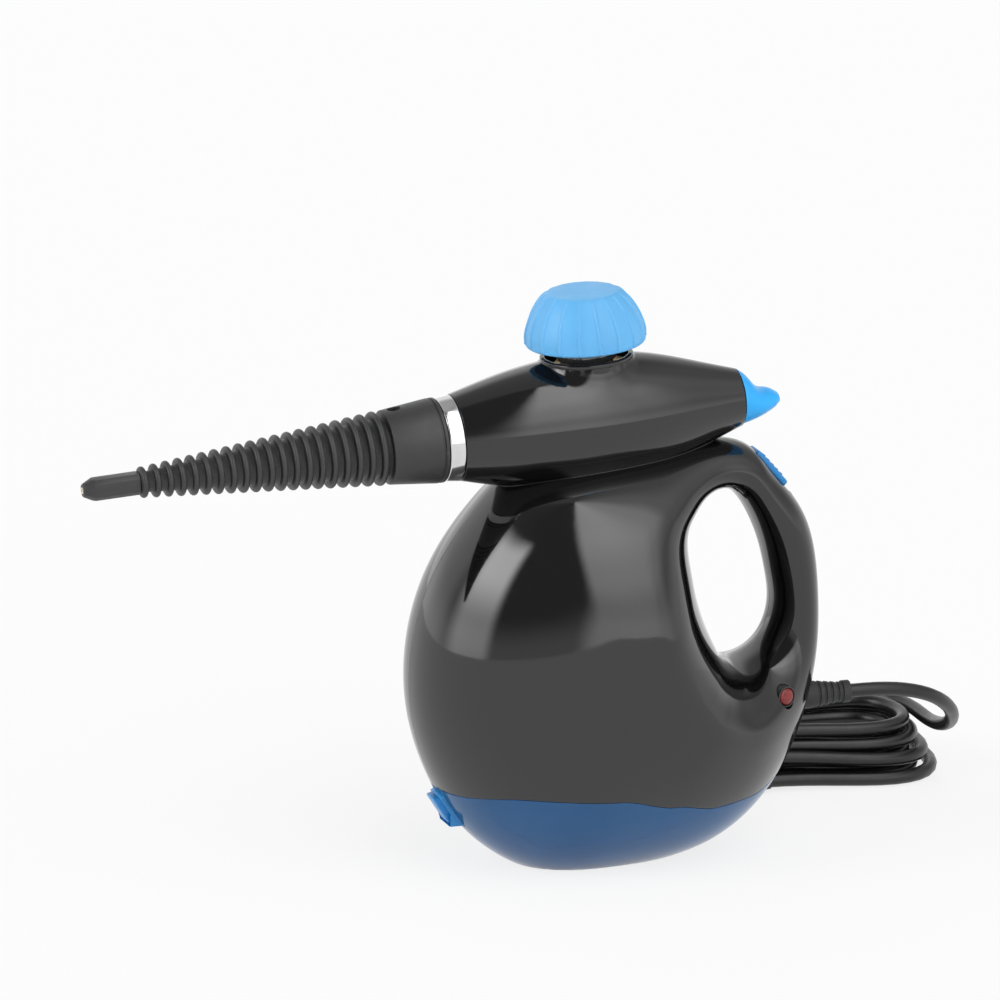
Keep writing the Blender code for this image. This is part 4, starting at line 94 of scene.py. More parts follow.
HOLE_OUTLINE_SHARES = (
    (0.482, -0.180), (0.443, -0.020), (0.363, 0.150), (0.228, 0.316), (0.070, 0.433),
    (-0.105, 0.485), (-0.295, 0.470), (-0.450, 0.402), (-0.552, 0.322), (-0.577, 0.222),
    (-0.548, 0.109), (-0.508, -0.006), (-0.446, -0.122), (-0.372, -0.224), (-0.295, -0.314),
    (-0.203, -0.402), (-0.070, -0.471), (0.090, -0.486), (0.264, -0.432), (0.412, -0.322),
)
HANDLE_SHARES = (
    1.0, 1.0, 1.0, 0.95, 0.70, 0.25, 0.05, 0.0, 0.0, 0.0,
    0.0, 0.0, 0.0, 0.0, 0.0, 0.0, 0.03, 0.12, 0.45, 0.85,
)
FINE_SPOKES = 200
FINE_STEPS = 46
COARSE_SPOKES = 60
COARSE_STEPS = 12

# Fuselage and its filler neck
FUSELAGE_RISE = 0.0140
FUSELAGE_Z = BODY_HEIGHT + FUSELAGE_RISE
FUSELAGE_PITCH = math.radians(3.4)
FUSELAGE_RADIUS = 0.0277
FUSELAGE_FRONT = BODY_LENGTH * 0.3105
FUSELAGE_BACK = BODY_LENGTH * 0.3840
FUSELAGE_RADIUS_SHARES = (0.665, 0.782, 0.884, 0.955, 0.996, 0.994, 0.958, 0.880, 0.752, 0.600, 0.450)
FRONT_WALL = 0.004
CAP_ALONG = 0.0042
NECK_TOP = 0.0282
NECK_RIM_RADIUS = 0.0198
NECK_FLARE_RADIUS = 0.0290
NECK_FLARE_DEPTH = 0.0170
NECK_SIDE_SHARE = 0.30
NECK_BLEND = 0.0040
NECK_LIP_HEIGHT = 0.0016
NECK_LIP_STEP = 0.0004
NECK_LIP_ROUNDING = 0.0005
NECK_LIP_LAP_SHARE = 0.6
WELL_RADIUS = 0.0178
WELL_FLOOR = 0.0195
WELL_FLOOR_THICKNESS = 0.0030
BOILER_NECK_RADIUS = 0.0110

# Seam between housing and base bowl
SEAM_SHARES = (
    (-0.10, 0.197), (0.05, 0.201), (0.20, 0.220), (0.42, 0.211), (0.56, 0.182),
    (0.67, 0.162), (0.78, 0.167), (0.89, 0.197), (1.10, 0.206),
)
SEAM_STEPS = 140

# Housing screws
BOSS_RADIUS = 0.0042
SCREW_PILOT_RADIUS = 0.0016
SCREW_WELL_RADIUS = 0.0033
SCREW_SEAT_Y = 0.0060
SCREW_DEPTH = 0.0110
SCREW_PLACE_SHARES = ((0.125, 0.345), (0.150, 0.700), (0.740, 0.380), (0.945, 0.640))

# Filler cap
CAP_BOTTOM = 0.0333
CAP_HEIGHT = 0.0224
CAP_RADIUS = 0.0255
CAP_TOP_RADIUS = 0.0146
CAP_WALL = 0.0024
CAP_LIP = 0.0012
CAP_SKIRT = 0.0028
CAP_DOME_FULLNESS = 1.5
CAP_RIDGES = 18
CAP_RIDGE_RISE = 0.0010
CAP_RIDGE_WIDTH = 0.0010
CAP_RIDGE_FADE_SHARE = 0.55
CAP_PANEL_DROP = 0.0005
CAP_DISC_SHARES = (0.35, 0.7)
CAP_TURN = math.radians(6.3)
CAP_SLEEVE_WALL = 0.0017
PLUG_HUB_RADIUS = 0.0070

# Chrome ring, nozzle and tip, distances forward from the middle of the fuselage axis
RING_BACK = FUSELAGE_FRONT + GAP
RING_WIDTH = 0.0067
RING_RADIUS = 0.0186
RING_ROUNDING = 0.0008
SPOUT_RADIUS = 0.0120
COLLAR_BACK = RING_BACK + RING_WIDTH + GAP
COLLAR_RADIUS = 0.0181
COLLAR_LENGTH = 0.0233
COLLAR_FRONT = COLLAR_BACK + COLLAR_LENGTH
COLLAR_GROOVE_WIDTH = 0.0010
COLLAR_GROOVE_DEPTH = 0.0007
COLLAR_LIP = 0.0014
COLLAR_ROUNDING = 0.0005
SOCKET_DEPTH = 0.0270
RIB_COUNT = 20
RIBBED_LENGTH = 0.1080
BARREL_FRONT = COLLAR_FRONT + RIBBED_LENGTH
RIB_BACK_RADIUS = 0.0158
RIB_FRONT_RADIUS = 0.0067
RIB_BACK_DEPTH = 0.0034
RIB_FRONT_DEPTH = 0.0024
RIB_WIDTH_SHARE = 0.46
RIB_SET_BACK_SHARE = 1.2
RIB_FOOT_SHARES = ((1.5, 0.0), (1.05, 0.25))
NOZZLE_BORE = 0.0019
SNAP_RADIUS = 0.0026
SNAP_FROM_COLLAR_FRONT = 0.0050
TIP_BACK = BARREL_FRONT + GAP
TIP_LENGTH = 0.0245
TIP_WIDTH = 0.0090
TIP_CHAMFER = 0.0016
TIP_CONE_LENGTH = 0.0080
TIP_CONE_RADIUS = TIP_WIDTH * 0.75
TIP_END_RADIUS = 0.0027
TIP_SPIGOT_RADIUS = 0.0034
TIP_SPIGOT_LENGTH = 0.0080
TIP_BORE = 0.0012
TIP_EDGE = 0.0003
JET_RADIUS = 0.0016
JET_LENGTH = 0.0040
JET_PROUD = 0.0003
JET_BORE = 0.0006

# Steam trigger
VALVE_ALONG = BODY_LENGTH * 0.1740
VALVE_STEM_RADIUS = 0.0016
VALVE_HEAD_RADIUS = 0.0038
TRIGGER_PIVOT_INSET = 0.0095
TRIGGER_PIVOT_ALONG = FUSELAGE_BACK - TRIGGER_PIVOT_INSET
TRIGGER_PIVOT_DROP = 0.0060
TRIGGER_SPLIT = 0.0006
TRIGGER_LENGTH = 0.0176
TRIGGER_HALF_WIDTH = 0.0120
TRIGGER_HALF_HEIGHT = 0.0122
TRIGGER_TONGUE_WIDTH = 0.0090
TRIGGER_TONGUE_HEIGHT = 0.0050
TRIGGER_EYE_RADIUS = 0.0036
TRIGGER_PIN_RADIUS = 0.0015
TRIGGER_FORK_SLOT = 0.0024
TRIGGER_ARM_THICKNESS = 0.0022
TRIGGER_ARM_ROUNDING = 0.0003
TRIGGER_HEAD_DROP = 0.0018
TAIL_WALL = 0.0020
TRIGGER_TIP_LENGTH = 0.0011
TRIGGER_SECTION_SHARES = (
    (0.00, 1.00, -0.95, 1.00), (0.20, 0.76, -0.88, 0.96), (0.38, 0.42, -0.79, 0.90),
    (0.55, 0.24, -0.69, 0.82), (0.72, 0.19, -0.58, 0.72), (0.87, 0.10, -0.46, 0.57),
    (0.94, 0.03, -0.38, 0.44),
)

# Lock slider
SLIDER_PLACE_SHARES = (0.8669, 0.9142)
SLIDER_SLOPE = math.radians(49)
SLIDER_LENGTH = 0.0200
SLIDER_WIDTH = 0.0110
SLIDER_PROUD = 0.0015
SLIDER_SUNK = 0.0016
SLIDER_TRAVEL = 0.0050
SLIDER_ROUNDING = 0.0012
SLIDER_RIDGES = 5
SLIDER_RIDGE_HEIGHT = 0.0005
SLIDER_RIDGE_WIDTH = 0.0010
SLIDER_RIDGE_ROUNDING = SLIDER_RIDGE_HEIGHT * 0.6
SLIDER_BED = 0.0050

# Pilot lamp
LAMP_PLACE_SHARES = (0.8140, 0.3920)
LAMP_YAW = math.radians(22)
LAMP_RADIUS = 0.0036
LAMP_BEZEL = 0.0010
LAMP_BEZEL_ROUNDING = LAMP_BEZEL * 0.4
LAMP_PROUD = 0.0010
LAMP_BEZEL_PROUD = 0.0004
LAMP_DEPTH = 0.0060
LAMP_BOSS_WALL = 0.0018

# Cord entry and cord
CORD_ENTRY_Z = BODY_HEIGHT * 0.3466
CORD_DIAMETER = 0.0060
CORD_RADIUS = CORD_DIAMETER / 2
RELIEF_SLEEVE_RADIUS = 0.0060
RELIEF_SLEEVE_TIP = 0.0042
RELIEF_SLEEVE_LENGTH = 0.0170
RELIEF_COLLAR_WIDTH = 0.0035
RELIEF_COLLAR_RADIUS = 0.0048
RELIEF_FLANGE_RADIUS = 0.0080
RELIEF_FLANGE_THICKNESS = 0.0020
RELIEF_GROOVES = 4
RELIEF_GROOVE_DEPTH = 0.0005
RELIEF_GROOVE_SHARES = ((0.2, 0), (0.1, 1), (-0.1, 1), (-0.2, 0))
RELIEF_ROUNDING = 0.0004
CORD_TAIL_LENGTH = 0.0150
HANK_X = 0.1050
HANK_Y = 0.0930
HANK_HALF_LENGTH = 0.0660
HANK_END_PITCH = 0.0078
HANK_INNER_HALF_WIDTH = 0.0382
HANK_WIDTH_PITCH = 0.0162
HANK_WAIST_SHARE = 0.60
HANK_LAYERS = 4
HANK_LAYER_RISE = 0.0066
HANK_TURNS = 1.5
HANK_CLIMB = 0.5
HANK_LAST_TURNS = 2.0
HANK_STEPS = 56
HANK_TIE_LIFT = 0.0016
TIE_THICKNESS = 0.0010
TIE_WIDTH = 0.0050
TIE_ROOM = 0.0024
TIE_SECTION_SHARES = (
    (-0.5, 0.2), (-0.42, 0.8), (0.0, 1.0), (0.42, 0.8), (0.5, 0.2), (0.42, 0.0), (-0.42, 0.0),
)
TIE_SQUARENESS = 9
TIE_STEPS = 160
TAIL_LEAD = 0.0190
TAIL_TURN_RADIUS = 0.0340
TAIL_TURN_STEPS = 14
TAIL_RUN = 0.0200
FREE_HANDLE_OUT = 0.0520
FREE_HANDLE_IN = 0.0480
FREE_STEPS = 28
PLUG_BODY_LENGTH = 0.0340
PLUG_BODY_WIDTH = 0.0300
PLUG_BODY_HEIGHT = 0.0240
PLUG_SLEEVE_LENGTH = 0.0180
PLUG_SLEEVE_RADIUS = 0.0052
PLUG_PIN_RADIUS = 0.0024
PLUG_PIN_LENGTH = 0.0190
PLUG_PIN_SPACING = 0.0190
PLUG_PIN_SOCKET = 0.0060
PLUG_PIN_ROUNDING = PLUG_PIN_RADIUS * 0.6
PLUG_GRIPS = 4
PLUG_GRIP_DEPTH = 0.0008
PLUG_GRIP_SHARES = (0.42, 0.86)
PLUG_SWELL_SHARES = (0.78, 0.30)
PLUG_GROOVED_SHARE = 0.8
PLUG_GROOVE_DEPTH = 0.0005
PLUG_GROOVE_PITCH = 0.0034
PLUG_EDGE = 0.0030
PLUG_END_SHARE = 0.10
PLUG_SQUARENESS = 2.2

# Base latch
LATCH_HEIGHT = 0.0158
LATCH_WIDTH = 0.0150
LATCH_PROUD = 0.0006
LATCH_STEP = 0.0029
LATCH_LEDGE = 0.0022
LATCH_TOP_DROP = 0.0022
LATCH_LEAN_SHARE = 0.82
LATCH_SUNK = 0.0086
LATCH_BELOW_SEAM = 0.0008
LATCH_TRAVEL = 0.0022
LATCH_ROUNDING = 0.0010
LATCH_BACK_WALL = 0.0020
LATCH_SPRING_ROOM = 0.0045

# Depths of the waves and facets in the polished finishes, and the radius of their softened edges
GLOSS_WAVE_DEPTH = 0.00012
BOWL_WAVE_DEPTH = 0.00010
LENS_FACET_DEPTH = 0.00005
EDGE_SOFTENING = 0.0005

# Floor
FLOOR_HALF_SIZE = 60.0
FLOOR_DROP = 0.0002
FLOOR_GLOW_SHARE = 0.8

# Studio light: level, then (azimuth, share) and (elevation, share) in degrees; azimuth -90 is at the nozzle
WORLD_LEVEL = 0.17
STUDIO_GLOWS = (
    (5.4, ((-112, 0.0), (-94, 1.0), (-72, 1.0), (-62, 0.0)),
     ((-5, 0.25), (12, 0.38), (33, 1.0), (39, 1.0), (45, 0.0))),
    (3.1, ((-16, 0.0), (-4, 0.95), (12, 1.0), (34, 0.7), (70, 0.32), (110, 0.15), (160, 0.0)),
     ((-5, 0.40), (8, 0.45), (30, 0.75), (58, 1.0), (90, 1.0))),
    (0.85, ((-180, 1.0), (-125, 1.0), (-100, 0.2), (-66, 0.0), (120, 0.0), (175, 1.0)),
     ((-5, 1.0), (30, 1.0), (50, 0.3), (90, 0.3))),
    (0.5, ((-180, 1.0), (180, 1.0)), ((-5, 1.0), (2, 1.0), (17, 0.0))),
)

# Plastics: colour, roughness, clouding colour, colour of worn edges, depth and scale of the grain
PLASTICS = {
    "matte_black": ((0.028, 0.028, 0.029), 0.44, None, (0.058, 0.058, 0.058), 0.00003, 3200.0),
    "cap_blue": ((0.118, 0.440, 0.800), 0.42, (0.105, 0.405, 0.760), (0.20, 0.54, 0.87), 0.00002, 2600.0),
    "blue": ((0.020, 0.420, 0.950), 0.34, (0.016, 0.380, 0.880), (0.08, 0.48, 0.95), 0.00001, 2600.0),
    # The trigger's blue darkened as painted shade, clouding and edge colours too; used on the latch and the
    # slider
    "blue_in_painted_shade": ((0.008, 0.220, 0.560), 0.32, (0.006, 0.180, 0.500), (0.06, 0.36, 0.74), 0.00001, 2600.0),
    "inner_grey": ((0.16, 0.16, 0.17), 0.48, None, (0.22, 0.22, 0.23), 0.00002, 2600.0),
    "cream": ((0.72, 0.67, 0.50), 0.50, (0.66, 0.60, 0.44), None, 0.00003, 2600.0),
    "rubber": ((0.020, 0.020, 0.021), 0.62, None, (0.045, 0.045, 0.045), 0.00004, 2200.0),
    "silicone": ((0.52, 0.22, 0.15), 0.55, (0.46, 0.18, 0.12), None, 0.00002, 2600.0),
    "cord": ((0.006, 0.006, 0.006), 0.34, None, None, 0.00003, 1200.0),
}

# Metals: colour, roughness, stretch of the tooling marks, their depth and scale
METALS = {
    "chrome": ((0.80, 0.80, 0.81), 0.07, (1.0, 0.15, 1.0), 0.000002, 500.0),
    "aluminium": ((0.60, 0.60, 0.62), 0.42, None, 0.00005, 700.0),
    "steel": ((0.58, 0.58, 0.60), 0.26, (0.1, 1.0, 1.0), 0.00001, 1500.0),
    "brass": ((0.72, 0.50, 0.20), 0.28, (1.0, 1.0, 0.1), 0.00001, 1500.0),
}

# Finishes of the solids that are shown as they are
NODE_FINISHES = {
    "aluminium": ("boiler_pot", "boiler_lid"),
    "brass": ("neck_nut", "relief_plunger", "relief_nut", "valve_body", "plug_pin_1", "plug_pin_2"),
    "cream": ("thermal_fuse", "terminal_block"),
    "inner_grey": ("boiler_frame", "cap_plug", "lamp_holder", "floor_plate", "cord_clamp"),
    "matte_black": ("spout",),
    "rubber": ("cap_gasket",),
    "silicone": ("boiler_gasket", "spout_seal", "steam_pipe"),
    "steel": ("heating_element", "thermostat", "cap_washer", "snap_button", "valve_stem", "trigger_pin",
              *(f"{kind}_{number}" for kind in ("boiler_bolt", "housing_screw") for number in range(1, 5))),
}


# Frames of the fuselage, the filler neck and the nozzle

def quarter_turn(axis, way=1):
    return Matrix.Rotation(way * math.pi / 2, 4, axis)


LIFTED = Matrix.Translation((0, 0, FUSELAGE_Z))
FUSELAGE = LIFTED @ Matrix.Rotation(-FUSELAGE_PITCH, 4, "Y")
FILLER = FUSELAGE @ Matrix.Translation((CAP_ALONG, 0, 0))
NOSE = FUSELAGE @ quarter_turn("Y", -1)


def make_camera():
    data = bpy.data.cameras.new("camera")
    data.lens = CAMERA_LENS
    camera = bpy.data.objects.new("camera", data)
    bpy.context.scene.collection.objects.link(camera)
    back = CAMERA_BACK.normalized()
    camera.location = CAMERA_AIM + CAMERA_DISTANCE * back
    camera.rotation_euler = (-back).to_track_quat("-Z", "Y").to_euler()
    bpy.context.scene.camera = camera


make_camera()


# Node helpers and finishes

class Nodes:
    """Short calls for the nodes of a material's or the world's tree."""

    def __init__(self, owner):
        owner.use_nodes = True
        self.tree = owner.node_tree

    def link(self, source, target):
        self.tree.links.new(source, target)

    def node(self, kind, inputs=None, **settings):
        """A new node, each of whose inputs takes a value or another node's output."""
        made = self.tree.nodes.new("ShaderNode" + kind)
        for key, value in settings.items():
            setattr(made, key, value)
        for socket, value in (inputs or {}).items():
            if isinstance(value, bpy.types.NodeSocket):
                self.link(value, made.inputs[socket])
            else:
                made.inputs[socket].default_value = value
        return made

    def math(self, operation, first, second=0.0):
        return self.node("Math", {0: first, 1: second}, operation=operation).outputs[0]

    def ramp(self, source, points):
        """Eased steps through (place, level) points."""
        made = self.node("ValToRGB", {"Fac": source})
        steps = made.color_ramp
        steps.interpolation = "EASE"
        while len(steps.elements) < len(points):
            steps.elements.new(0.5)
        for element, (place, level) in zip(steps.elements, points):
            element.position = place
            element.color = (level, level, level, 1)
        return made.outputs["Color"]


class Shader(Nodes):
    """A material with the steps that the finishes share."""

    def __init__(self, name, **values):
        self.material = bpy.data.materials.new(name)
        super().__init__(self.material)
        self.main = self.tree.nodes["Principled BSDF"]
        for key, value in values.items():
            socket = key.replace("_", " ").title().replace("Ior", "IOR")
            self.main.inputs[socket].default_value = value
        self.place = self.node("TexCoord").outputs["Object"]
        self.normal = None

    def noise(self, scale, detail=2.0, roughness=0.5, stretch=None):
        place = self.place
        if stretch:
            place = self.node("Mapping", {"Vector": place, "Scale": stretch}).outputs["Vector"]
        wanted = {"Vector": place, "Scale": scale, "Detail": detail, "Roughness": roughness}
        return self.node("TexNoise", wanted).outputs["Fac"]

    def spread(self, source, low=0.0, high=1.0, start=0.3, end=0.7):
        """Maps a value from start..end to low..high."""
        wanted = {"Value": source, "From Min": start, "From Max": end, "To Min": low, "To Max": high}
        return self.node("MapRange", wanted).outputs["Result"]

    def mix(self, share, *colours):
        first, second = ((*item, 1.0) if isinstance(item, tuple) else item for item in colours)
        return self.node("Mix", {"Factor": share, 6: first, 7: second}, data_type="RGBA").outputs[2]

    def clouds(self, scale, first, second, detail=3.0):
        """Two colours that run into each other in soft patches."""
        return self.mix(self.spread(self.noise(scale, detail)), first, second)

    def worn_edges(self):
        """From 0 on flat faces to 1 on sharp outer edges, broken up by noise."""
        edge = self.spread(self.node("NewGeometry").outputs["Pointiness"], 0.0, 1.0, 0.515, 0.60)
        return self.math("MULTIPLY", edge, self.spread(self.noise(900.0, 3.0), 0.2, 1.0))

    def soften(self):
        self.normal = self.node("Bevel", {"Radius": EDGE_SOFTENING}, samples=6).outputs["Normal"]

    def bump(self, height, depth, strength=1.0):
        wanted = {"Strength": strength, "Distance": depth, "Height": height}
        if self.normal:
            wanted["Normal"] = self.normal
        self.normal = self.node("Bump", wanted).outputs["Normal"]

    def done(self, colour, roughness):
        for socket, source in (("Base Color", colour), ("Roughness", roughness), ("Normal", self.normal)):
            self.link(source, self.main.inputs[socket])
        return self.material


def plastic(name, colour, roughness, second, edge, grain, grain_scale):
    """Moulded plastic: a slightly clouded colour, uneven gloss, moulding grain and paler edges."""
    made = Shader(name, roughness=roughness)
    tint = made.clouds(45.0, colour, second or tuple(channel * 0.82 for channel in colour))
    if edge:
        tint = made.mix(made.worn_edges(), tint, edge)
    made.bump(made.noise(grain_scale), grain)
    return made.done(tint, made.spread(made.noise(160.0, 4.0), roughness * 0.88, roughness * 1.14))


def metal(name, colour, roughness, stretch, grain, grain_scale):
    """Metal with its tooling marks; a stretch draws the marks out along one way."""
    made = Shader(name, metallic=1.0, roughness=roughness)
    marks = made.noise(grain_scale, 3.0, 0.6, stretch)
    made.bump(marks, grain)
    tint = made.clouds(60.0, colour, tuple(channel * 0.8 for channel in colour))
    return made.done(tint, made.spread(marks, roughness * 0.7, roughness * 1.4))


def gloss_black():
    """Polished black moulding: faint flow waves, fine rubbing marks, dust and softened edges."""
    made = Shader("gloss_black", specular_ior_level=0.74)
    made.soften()
    made.bump(made.noise(38.0, 1.0), GLOSS_WAVE_DEPTH, 0.5)
    rubs = made.noise(240.0, 4.0, 0.6, (1.0, 0.25, 3.0))
    dust = made.spread(made.noise(1400.0), 0.0, 1.0, 0.70, 0.78)
    tint = made.mix(dust, (0.0042, 0.0042, 0.0046), (0.012, 0.012, 0.012))
    return made.done(tint, made.spread(rubs, 0.045, 0.085))


def bowl_blue():
    """Clear tinted moulding: blue in the thickness, with a faint cloud and polished faces."""
    made = Shader("bowl_blue", ior=1.46, transmission_weight=0.55, specular_ior_level=0.25)
    made.soften()
    made.bump(made.noise(60.0, 1.0), BOWL_WAVE_DEPTH, 0.5)
    rubs = made.noise(300.0, 4.0, 0.6, (1.0, 0.3, 3.0))
    tint = made.clouds(26.0, (0.026, 0.155, 0.390), (0.042, 0.190, 0.440))
    return made.done(tint, made.spread(rubs, 0.10, 0.18))


def red_lens():
    """Clear red moulding with fine facets inside."""
    made = Shader("red_lens", transmission_weight=0.35, ior=1.49)
    made.bump(made.noise(900.0, 1.0), LENS_FACET_DEPTH)
    tint = made.clouds(700.0, (0.24, 0.018, 0.018), (0.36, 0.036, 0.032), 2.0)
    return made.done(tint, made.spread(made.noise(300.0), 0.12, 0.24))


FINISHES = {"gloss_black": gloss_black(), "bowl_blue": bowl_blue(), "red": red_lens()}
FINISHES.update((name, plastic(name, *values)) for name, values in PLASTICS.items())
FINISHES.update((name, metal(name, *values)) for name, values in METALS.items())


# Mesh helpers

def mesh_from(bm, name):
    bmesh.ops.recalc_face_normals(bm, faces=bm.faces)
    mesh = bpy.data.meshes.new(name)
    bm.to_mesh(mesh)
    bm.free()
    return mesh


def grid_mesh(name, rows, wrap_rows=False, cap_ends=True):
    """Closed rings of points joined in order; one-point rings close to a pole."""
    bm = bmesh.new()
    made = [[bm.verts.new(point) for point in row] for row in rows]
    pairs = list(zip(made, made[1:]))
    if wrap_rows:
        pairs.append((made[-1], made[0]))
    for first, second in pairs:
        count = max(len(first), len(second))
        for step in range(count):
            after = (step + 1) % count
            corners = [first[step % len(first)], first[after % len(first)],
                       second[after % len(second)], second[step % len(second)]]
            unique = list(dict.fromkeys(corners))
            if len(unique) > 2:
                bm.faces.new(unique)
    if cap_ends and not wrap_rows:
        for row in (made[0], made[-1]):
            if len(row) > 2:
                bm.faces.new(row)
    return mesh_from(bm, name)


def circle(radius, height, sides):
    turns = [2 * math.pi * step / sides for step in range(sides)]
    return [(radius * math.cos(turn), radius * math.sin(turn), height) for turn in turns]


def turned(name, profile, sides, closed=False):
    """Turns (radius, height) points about Z; closed joins the last point to the first for a bored shape."""
    rows = [circle(radius, height, sides if radius else 1) for radius, height in profile]
    return grid_mesh(name, rows, closed)


def rod(name, radius, bottom, top, sides=48):
    return turned(name, ((0, top), (radius, top), (radius, bottom), (0, bottom)), sides)


def tube(name, radius, bore, bottom, top, sides=48):
    return turned(name, ((radius, top), (radius, bottom), (bore, bottom), (bore, top)), sides, True)


def block(name, size, centre=(0, 0, 0), rounding=0.0, segments=4):
    bm = bmesh.new()
    bmesh.ops.create_cube(bm, size=1.0)
    bmesh.ops.scale(bm, vec=size, verts=bm.verts)
    if rounding:
        bmesh.ops.bevel(bm, geom=bm.edges, offset=rounding, segments=segments, profile=0.5, affect="EDGES")
    bmesh.ops.translate(bm, vec=centre, verts=bm.verts)
    return mesh_from(bm, name)


def placed(mesh, *turns):
    """Moves a mesh by the turns, the first one outermost."""
    whole = Matrix.Identity(4)
    for turn in turns:
        whole = whole @ turn
    mesh.transform(whole)
    return mesh


def holder(mesh, name=None):
    made = bpy.data.objects.new(name or mesh.name, mesh)
    bpy.context.scene.collection.objects.link(made)
    return made


def drop_slivers(bm):
    """Removes doubled or dangling faces that an exact cut can leave along an edge."""
    extra = {None}
    while extra:
        extra = set()
        for edge in bm.edges:
            if len(edge.link_faces) > 2:
                for face in edge.link_faces:
                    if all(len(other.link_faces) == 1 for other in face.edges if other is not edge):
                        extra.add(face)
        if extra:
            bmesh.ops.delete(bm, geom=list(extra), context="FACES")


def combined(mesh, operation, tools):
    """Exact cut, union or overlap of a mesh with one or more tool meshes."""
    target = holder(mesh)
    group = bpy.data.collections.new("tools")
    bpy.context.scene.collection.children.link(group)
    helpers = [bpy.data.objects.new(tool.name, tool) for tool in tools]
    for helper in helpers:
        group.objects.link(helper)
    modifier = target.modifiers.new("cut", "BOOLEAN")
    modifier.operation = operation
    modifier.solver = "EXACT"
    if len(helpers) == 1:
        modifier.object = helpers[0]
    else:
        modifier.operand_type = "COLLECTION"
        modifier.collection = group
    bpy.context.view_layer.update()
    view = target.evaluated_get(bpy.context.evaluated_depsgraph_get())
    result = bpy.data.meshes.new_from_object(view)
    for helper in [target, *helpers]:
        bpy.data.objects.remove(helper)
    bpy.data.collections.remove(group)
    bm = bmesh.new()
    bm.from_mesh(result)
    bmesh.ops.remove_doubles(bm, verts=bm.verts, dist=MERGE)
    bmesh.ops.dissolve_degenerate(bm, dist=MERGE, edges=bm.edges)
    drop_slivers(bm)
    bm.to_mesh(result)
    bm.free()
    result.name = mesh.name
    return result

def cut(mesh, *tools):
    return combined(mesh, "DIFFERENCE", tools)


def united(mesh, *tools):
    return combined(mesh, "UNION", tools)
def keep_largest(mesh):
    """Drops slivers that a cut may leave beside the main solid."""
    bm = bmesh.new()
    bm.from_mesh(mesh)
    left = set(bm.verts)
    groups = []
    while left:
        group = set()
        reached = {left.pop()}
        while reached:
            group |= reached
            reached = {edge.other_vert(corner) for corner in reached for edge in corner.link_edges} - group
        left -= group
        groups.append(group)
    groups.sort(key=len)
    for group in groups[:-1]:
        bmesh.ops.delete(bm, geom=list(group), context="VERTS")
    bm.to_mesh(mesh)
    bm.free()
    return mesh


def joined(name, meshes):
    bm = bmesh.new()
    for mesh in meshes:
        bm.from_mesh(mesh)
    made = bpy.data.meshes.new(name)
    bm.to_mesh(made)
    bm.free()
    return made


def piece(name, mesh, finish, body, node):
    """A finished piece: smooth shading, its finish, the body it rides on and the solid it replaces."""
    made = holder(mesh, name)
    mesh.materials.clear()
    mesh.materials.append(FINISHES[finish])
    for face in mesh.polygons:
        face.material_index = 0
    mesh.shade_smooth()
    mesh.set_sharp_from_angle(angle=HIDDEN_EDGE)
    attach(made, body)
    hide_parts(node)
    return made


# Curves

def hermite(part, here, leave, after, arrive, width=1.0):
    """Cubic step from here to after that leaves and arrives at the given slopes."""
    return ((2 * part ** 3 - 3 * part ** 2 + 1) * here + (part ** 3 - 2 * part ** 2 + part) * width * leave
            + (3 * part ** 2 - 2 * part ** 3) * after + (part ** 3 - part ** 2) * width * arrive)


def closed_spline(points, count):
    """Smooth closed curve through the points, with even curvature, read at count steps of its parameter."""
    points = np.array(points, dtype=float)
    total = len(points)
    system = 4 * np.eye(total) + np.roll(np.eye(total), 1, axis=1) + np.roll(np.eye(total), -1, axis=1)
    slopes = np.linalg.solve(system, 3 * (np.roll(points, -1, axis=0) - np.roll(points, 1, axis=0)))
    place = np.arange(count) * total / count
    index = place.astype(int)
    part = (place - index)[:, None]
    after = (index + 1) % total
    return hermite(part, points[index], slopes[index], points[after], slopes[after])


def open_spline(stations, values, places):
    """Smooth open curve through values at the stations, free at both ends, read at the places."""
    stations = np.array(stations, dtype=float)
    values = np.array(values, dtype=float)
    total = len(stations)
    steps = np.diff(stations)
    rises = np.diff(values, axis=0) / (steps if values.ndim == 1 else steps[:, None])
    system = np.zeros((total, total))
    wanted = np.zeros_like(values)
    system[0, :2] = (2, 1)
    system[-1, -2:] = (1, 2)
    wanted[0], wanted[-1] = 3 * rises[0], 3 * rises[-1]
    for row in range(1, total - 1):
        before, after = steps[row - 1], steps[row]
        system[row, row - 1:row + 2] = (after, 2 * (before + after), before)
        wanted[row] = 3 * (after * rises[row - 1] + before * rises[row])
    slopes = np.linalg.solve(system, wanted)
    places = np.clip(np.array(places, dtype=float), stations[0], stations[-1])
    index = np.clip(np.searchsorted(stations, places, side="right") - 1, 0, total - 2)
    width = steps[index]
    part = (places - stations[index]) / width
    if values.ndim > 1:
        width, part = width[:, None], part[:, None]
    return hermite(part, values[index], slopes[index], values[index + 1], slopes[index + 1], width)


def moved_inward(curve, distance):
    ahead = np.roll(curve, -1, axis=0) - np.roll(curve, 1, axis=0)
    normal = np.stack((-ahead[:, 1], ahead[:, 0]), axis=1)
    return curve + distance * normal / np.linalg.norm(normal, axis=1)[:, None]


def body_point(share):
    return (share[0] * BODY_LENGTH - BODY_FRONT, share[1] * BODY_HEIGHT)


def eased(value, start, end):
    share = np.clip((value - start) / (end - start), 0.0, 1.0)
    return share * share * (3 - 2 * share)


